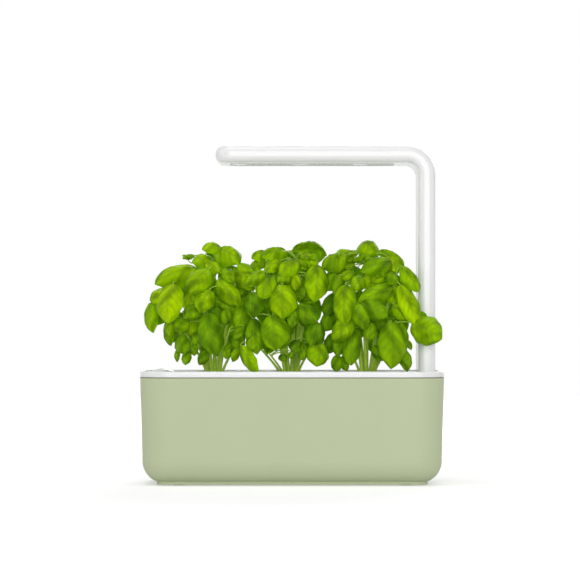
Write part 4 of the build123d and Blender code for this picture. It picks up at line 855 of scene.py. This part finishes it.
def blade_relief(form, length, width, bow, habit):
    """How far each point of a blade stands off the plane through its base and tip."""
    u, v, along, across, swell = form.u, form.v, form.along, form.across, form.swell
    # A cap of a ball that curls down at its sides
    ball = (length**2 / 4 + bow**2) / (2 * bow)
    height = bow - ball + np.sqrt(np.maximum(ball**2 - (along - length / 2) ** 2 - across**2, 0))
    height = height - habit.curl * width * (across / (width / 2)) ** 2
    # Both halves swell, and a slow wave crosses them
    height = height + habit.fold * width * np.sin(math.pi * np.abs(v) ** 0.8) * swell
    height = height + CROSS_WAVE * width * np.cos(3 * math.pi * (v + 0.3 * habit.wave_a)) * swell
    # The midrib lies in a groove, and the blade is quilted between its side veins
    height = height - MIDRIB_GROOVE * np.exp(-((form.rib / MIDRIB_SPREAD) ** 2)) * swell
    height = height + QUILTING * width * form.quilt * swell * np.sqrt(np.abs(v)) * (1 - v**2) ** 0.4
    pucker = np.sin(0.9 * along + 9 * habit.wave_a) * np.sin(1.1 * across + 9 * habit.wave_b)
    height = height + PUCKER * width * pucker * swell
    # The tip droops, the edges ripple, and the whole blade twists
    height = height - habit.droop * length * np.clip((u - 0.6) / 0.4, 0, 1) ** 2
    left_ripple = np.sin(2 * math.pi * (1.7 * u + habit.wave_a)) * (v > 0)
    right_ripple = np.sin(2 * math.pi * (1.9 * u + habit.wave_b)) * (v < 0)
    height = height + RIPPLE * width * (left_ripple + right_ripple) * v**2 * swell
    return height + TWIST * width * habit.twist * v * np.sin(math.pi * u)


def blade_tones(form, tone, habit):
    """Each point's tone and its painted light and shade: patches, a slope along the blade, a lean across it,
    and its quilting.
    """
    u, v = form.u, form.v
    patches = np.sin(2 * math.pi * (1.1 * u + 0.6 * v * np.sign(habit.twist) + habit.wave_a))
    finer = np.sin(2 * math.pi * (2.3 * u - 0.9 * v * np.sign(habit.sway) + habit.wave_b))
    patches = patches + 0.6 * finer
    # Painted light and shade: lighter and darker patches, one end and one half lighter, paler quilted bulges
    # and a darker midrib groove
    light = PAINTED_LEAF_LIGHT + habit.slope * (u - 0.5) + habit.lean * v + 0.24 * patches
    light = light + 0.1 * form.quilt * form.swell * (1 - v**2) - 0.04 * np.exp(-((form.rib / 1.6) ** 2))
    tone = LEAF_TONE + TONE_SPREAD * (tone - MIDDLE_TONE) + habit.shade
    tone = tone + 0.3 * habit.slope * (u - 0.5) + 0.1 * patches
    return np.clip(tone, 0, 3), np.clip(light, 0, 1)


def blade(pile, crown, base, tip, width, bow, tone, rng):
    """Adds a leaf's blade to a pile: a thin closed form, with the numbers that its material reads."""
    habit = SimpleNamespace(**{name: rng.uniform(*span) for name, span in LEAF_HABIT.items()})
    base, tip = np.array(base, float), np.array(tip, float)
    length, x, y, z = blade_axes(base, tip)
    form = blade_form(length, width, habit)
    height = blade_relief(form, length, width, bow, habit)
    across = form.across + SWAY * length * habit.sway * np.sin(math.pi * form.u)
    upper = (crown + base)[None, None, :] + form.along[..., None] * x
    upper = upper + across[..., None] * y + height[..., None] * z
    normal = np.cross(np.gradient(upper, axis=0), np.gradient(upper, axis=1))
    normal = normal / np.maximum(np.linalg.norm(normal, axis=2, keepdims=True), 1e-9)
    middle_share = np.sqrt(np.clip(form.edge / EDGE_TAPER, 0, 1))[..., None]
    taper = EDGE_THICKNESS_SHARE + (1 - EDGE_THICKNESS_SHARE) * middle_share
    lower = upper - normal * LEAF_THICKNESS * taper
    rows, columns = upper.shape[:2]
    count = rows * columns
    sheets = grid_faces(rows, columns) + grid_faces(rows, columns, count, True)
    rims = rim_faces(rows, columns)
    tones, light = blade_tones(form, tone, habit)

    def both_sides(grid):
        return np.tile(np.broadcast_to(grid, (rows, columns)).reshape(-1), 2)

    pile.add(
        np.concatenate([upper.reshape(-1, 3), lower.reshape(-1, 3)]),
        sheets + rims,
        [False] * len(sheets) + [True] * len(rims),
        leaf_tone=both_sides(tones),
        leaf_light=both_sides(light),
        leaf_rib=both_sides(form.rib),
        leaf_edge=both_sides(form.edge),
        leaf_phase=both_sides(form.phase),
        leaf_side=np.concatenate([np.ones(count), np.zeros(count)]),
    )


def sprig(leaves, crown, place, size, tone, rng):
    """A tuft of young leaves that open upwards and outwards."""
    turn = rng.uniform(0, 2 * math.pi)
    for i in range(SPRIG_LEAVES):
        angle = turn + i * SPRIG_TURN
        lift = rng.uniform(*SPRIG_LIFT)
        away = np.array((math.cos(angle), math.sin(angle) - SPRIG_LEAN, lift))
        length = size * rng.uniform(*SPRIG_LENGTHS)
        tip = place + unit(away) * length
        own_tone = tone + rng.uniform(*SPRIG_TONES)
        blade(leaves, crown, place, tip, SPRIG_WIDTH * length, SPRIG_BOW * length, own_tone, rng)


# Stems -------------------------------------------------------------------------------------------


def curve_points(controls, count):
    """Points along a Bezier curve of four controls."""
    t = np.linspace(0, 1, count)[:, None]
    a, b, c, d = (np.array(p, float) for p in controls)
    return (1 - t) ** 3 * a + 3 * (1 - t) ** 2 * t * b + 3 * (1 - t) * t**2 * c + t**3 * d


def stalk(pile, controls, radii, tones, sides):
    """Adds a tapering round stalk along a curve, with closed ends. Radii and tones are its first and last."""
    length = sum(np.linalg.norm(np.subtract(b, a)) for a, b in zip(controls, controls[1:]))
    count = int(np.clip(length / STALK_PITCH, LEAST_RINGS, MOST_RINGS))
    line = curve_points(controls, count)
    heading = np.gradient(line, axis=0)
    side = unit(np.cross(heading[0], STALK_SIDE))
    angles = np.arange(sides) * 2 * math.pi / sides
    first, last = radii
    rings = []
    for i in range(count):
        forward = unit(heading[i])
        side = unit(side - forward * side.dot(forward))
        other = np.cross(forward, side)
        radius = first + (last - first) * i / (count - 1)
        rings.append(line[i] + radius * (np.cos(angles)[:, None] * side + np.sin(angles)[:, None] * other))
    faces = []
    for i in range(count - 1):
        for j in range(sides):
            k = (j + 1) % sides
            faces.append((i * sides + j, i * sides + k, (i + 1) * sides + k, (i + 1) * sides + j))
    faces.append(tuple(range(sides))[::-1])
    faces.append(tuple((count - 1) * sides + j for j in range(sides)))
    pile.add(np.concatenate(rings), faces, False, stem_tone=np.repeat(np.linspace(*tones, count), sides))


def grow_stem(pile, crown, top, rng):
    """Adds a stem that leans out from the crown, and gives the points of its middle line."""
    top = np.array(top, float)
    foot = top * (1, 1, 0) * STEM_SPREAD
    lean = top - foot
    rise = lean * (0, 0, 1)
    controls = [foot, foot + rise * 0.1 + lean * 0.3, foot + lean * 0.7 + rise * 0.05, top]
    sunk = [crown + foot - (0, 0, STEM_SINK)] + [crown + c for c in controls[1:]]
    thick = STEM_RADIUS + TALL_STEM_GAIN * min(1.0, top[2] / TALL_STEM)
    foot_tone = rng.uniform(*STEM_FOOT_TONES)
    stalk(pile, sunk, (thick, STEM_TAPER * thick), (foot_tone, STEM_TOP_TONE), ROUND_SIDES)
    return curve_points(controls, STEM_POINTS)


def nearest_stem(lines, base):
    """The point of the plant's stems that best carries a leaf, the stem's heading there, and the distance."""
    best = None
    for line in lines:
        low, high = int(len(line) * LOWEST_STALK), len(line) - 2
        away = line[low:high] - base
        # A stalk rises outwards, so the best point lies a little lower than the leaf
        below = base[2] - line[low:high, 2] - STALK_RISE * np.linalg.norm(away[:, :2], axis=1)
        reach = np.linalg.norm(away, axis=1) + RISE_WEIGHT * np.abs(below)
        k = int(np.argmin(reach))
        if best is None or reach[k] < best[0]:
            best = (reach[k], line[low + k], unit(line[low + k + 1] - line[low + k]))
    _, start, rising = best
    return start, rising, np.linalg.norm(base - start)


# Plants ------------------------------------------------------------------------------------------


def plant(side, crown, seed):
    """One basil plant: its leaves as one piece and its stems as another."""
    rng = np.random.default_rng(seed)
    leaves = Pile(*LEAF_NUMBERS)
    stems = Pile("stem_tone")
    lines = [grow_stem(stems, crown, top, rng) for top in STEMS[side]]
    for base, tip, width, bow, tone in LEAVES[side]:
        blade(leaves, crown, base, tip, width, bow, tone, rng)
        base, tip = np.array(base, float), np.array(tip, float)
        start, rising, span = nearest_stem(lines, base)
        into = unit(tip - base)
        under = base + into * STALK_OVERLAP
        controls = [start, start + rising * span * 0.35, base - into * span * 0.3, under]
        stalk(stems, [crown + c for c in controls], PETIOLE_RADII, PETIOLE_TONES, THIN_SIDES)
    for place, size, tone in SPRIGS[side]:
        place = np.array(place, float)
        sprig(leaves, crown, place, size, tone, rng)
        start, rising, span = nearest_stem(lines, place)
        controls = [start, start + rising * span * 0.4, place - (0, 0, span * 0.4), place]
        stalk(stems, [crown + c for c in controls], SPRIG_STALK_RADII, SPRIG_STALK_TONES, THIN_SIDES)
    blades = leaves.build(f"basil_leaves_{side}", LEAF_LOOK)
    stalks = stems.build(f"basil_stems_{side}", STEM_LOOK)
    for piece in (blades, stalks):
        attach(piece, f"plant_{side}")
    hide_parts(f"basil_{side}")


def crumbs(side, crown, seed):
    """Loose crumbs and pale grains of perlite over the top of one pod's soil."""
    rng = np.random.default_rng(seed)
    low, high = node_box(f"soil_{side}")
    soil_radius = (high[0] - low[0]) / 2 - CRUMB_MARGIN
    ball = bmesh.new()
    bmesh.ops.create_icosphere(ball, subdivisions=1, radius=1)
    corners = np.array([corner.co for corner in ball.verts])
    faces = [tuple(corner.index for corner in face.verts) for face in ball.faces]
    ball.free()
    pile = Pile("crumb_tone")
    for _ in range(CRUMBS):
        tone = rng.uniform(0, 1)
        size = rng.uniform(*CRUMB_SIZE)
        away = (soil_radius - size) * math.sqrt(rng.uniform(0, 1))
        angle = rng.uniform(0, 2 * math.pi)
        lift = size * rng.uniform(*CRUMB_LIFT)
        place = crown + (away * math.cos(angle), away * math.sin(angle), lift)
        turn, _ = np.linalg.qr(rng.normal(size=(3, 3)))
        lump = corners * rng.uniform(*CRUMB_LUMPS, (len(corners), 1))
        lump = lump * (1, rng.uniform(*CRUMB_BREADTH), rng.uniform(*CRUMB_FLATNESS))
        pile.add(place + size * (lump @ turn.T), faces, True, crumb_tone=tone)
    made = pile.build(f"soil_crumbs_{side}", SLOT_LOOKS["soil"])
    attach(made, f"plant_{side}")


for number, side in enumerate(LEAVES):
    plant(side, plant_crown(side), PLANT_SEED + number)
    crumbs(side, plant_crown(side), CRUMB_SEED + number)

# Scene -------------------------------------------------------------------------------------------

CAMERA_PLACE = (-0.0021, -2.45, 0.1545)
# The lens and the sensor's width are in millimetres, and the shift is a share of that width
CAMERA_LENS = 151.88
CAMERA_SENSOR = 36
CAMERA_SHIFT = 0.0662
CAMERA_REACH = 30
# Each light: its place and what it faces, its width and height, and its power in watts
LIGHTS = {
    "front_light": ((0.15, -2.5, 0.65), (0, 0, 0.15), 1.6, 1.2, 26),
    "top_light": ((-0.3, -0.3, 2.0), (0, 0, 0.1), 1.0, 1.0, 9),
    "left_light": ((-1.9, -0.7, 0.7), (0, 0, 0.25), 0.9, 0.7, 4),
    "right_light": ((1.9, -0.7, 0.7), (0, 0, 0.25), 0.9, 0.7, 3),
    "rear_light": ((0.5, 1.9, 1.0), (0, 0, 0.2), 1.4, 0.9, 15),
}
WORLD_FILL = 0.32
FLOOR_REACH = 3
# The floor glows for the rays that show it, by its distance from the middle: from near to far
GLOW_FROM, GLOW_TO = 0.25, 0.9
NEAR_GLOW, FAR_GLOW = 0.4, 0.95

scene = bpy.context.scene
scene.view_settings.view_transform = "Standard"


def level_camera():
    """A level camera in front of the part, with its view shifted up."""
    data = bpy.data.cameras.new("camera")
    data.lens = CAMERA_LENS
    data.sensor_width = CAMERA_SENSOR
    data.shift_y = CAMERA_SHIFT
    data.clip_end = CAMERA_REACH
    camera = bpy.data.objects.new("camera", data)
    camera.location = CAMERA_PLACE
    camera.rotation_euler = (math.pi / 2, 0, 0)
    scene.collection.objects.link(camera)
    return camera


def soft_light(name, place, aim, width, height, power):
    data = bpy.data.lights.new(name, "AREA")
    data.shape = "RECTANGLE"
    data.size = width
    data.size_y = height
    data.energy = power
    lamp = bpy.data.objects.new(name, data)
    lamp.location = place
    lamp.rotation_euler = (Vector(aim) - Vector(place)).to_track_quat("-Z", "Y").to_euler()
    scene.collection.objects.link(lamp)


def studio_world():
    """White where it is seen, and a low even fill where it only lights."""
    world = bpy.data.worlds.new("studio")
    world.use_nodes = True
    tree = Tree(world.node_tree)
    tree.nodes.clear()
    choose = tree.add("ShaderNodeMixShader")
    tree.join(tree.showing(), choose.inputs["Fac"])
    for socket, strength in zip(choose.inputs[1:], (WORLD_FILL, 1)):
        background = tree.add("ShaderNodeBackground")
        background.inputs["Color"].default_value = (1, 1, 1, 1)
        background.inputs["Strength"].default_value = strength
        tree.join(background.outputs["Background"], socket)
    end = tree.add("ShaderNodeOutputWorld")
    tree.join(choose.outputs["Shader"], end.inputs["Surface"])
    return world


def pale_floor():
    """A pale floor that fades to white away from the part and keeps its shadow."""
    r = FLOOR_REACH
    mesh = bpy.data.meshes.new("floor")
    mesh.from_pydata([(-r, -r, 0), (r, -r, 0), (r, r, 0), (-r, r, 0)], [], [(0, 1, 2, 3)])
    floor = bpy.data.objects.new("floor", mesh)
    scene.collection.objects.link(floor)
    look = Look("floor_look", (0.8, 0.8, 0.8), 0.9, specular=0.1)
    away = look.add("ShaderNodeVectorMath", operation="LENGTH")
    look.join(look.place(), away.inputs[0])
    strength = look.stretch(away.outputs["Value"], GLOW_FROM, GLOW_TO, NEAR_GLOW, FAR_GLOW)
    glow = look.add("ShaderNodeEmission")
    glow.inputs["Color"].default_value = (1, 1, 1, 1)
    look.join(look.combine("MULTIPLY", look.showing(), strength), glow.inputs["Strength"])
    both = look.add("ShaderNodeAddShader")
    look.join(look.shader.outputs["BSDF"], both.inputs[0])
    look.join(glow.outputs["Emission"], both.inputs[1])
    look.join(both.outputs["Shader"], look.output.inputs["Surface"])
    mesh.materials.append(look.material)
    return floor


scene.camera = level_camera()
for name, values in LIGHTS.items():
    soft_light(name, *values)
scene.world = studio_world()
floor = pale_floor()
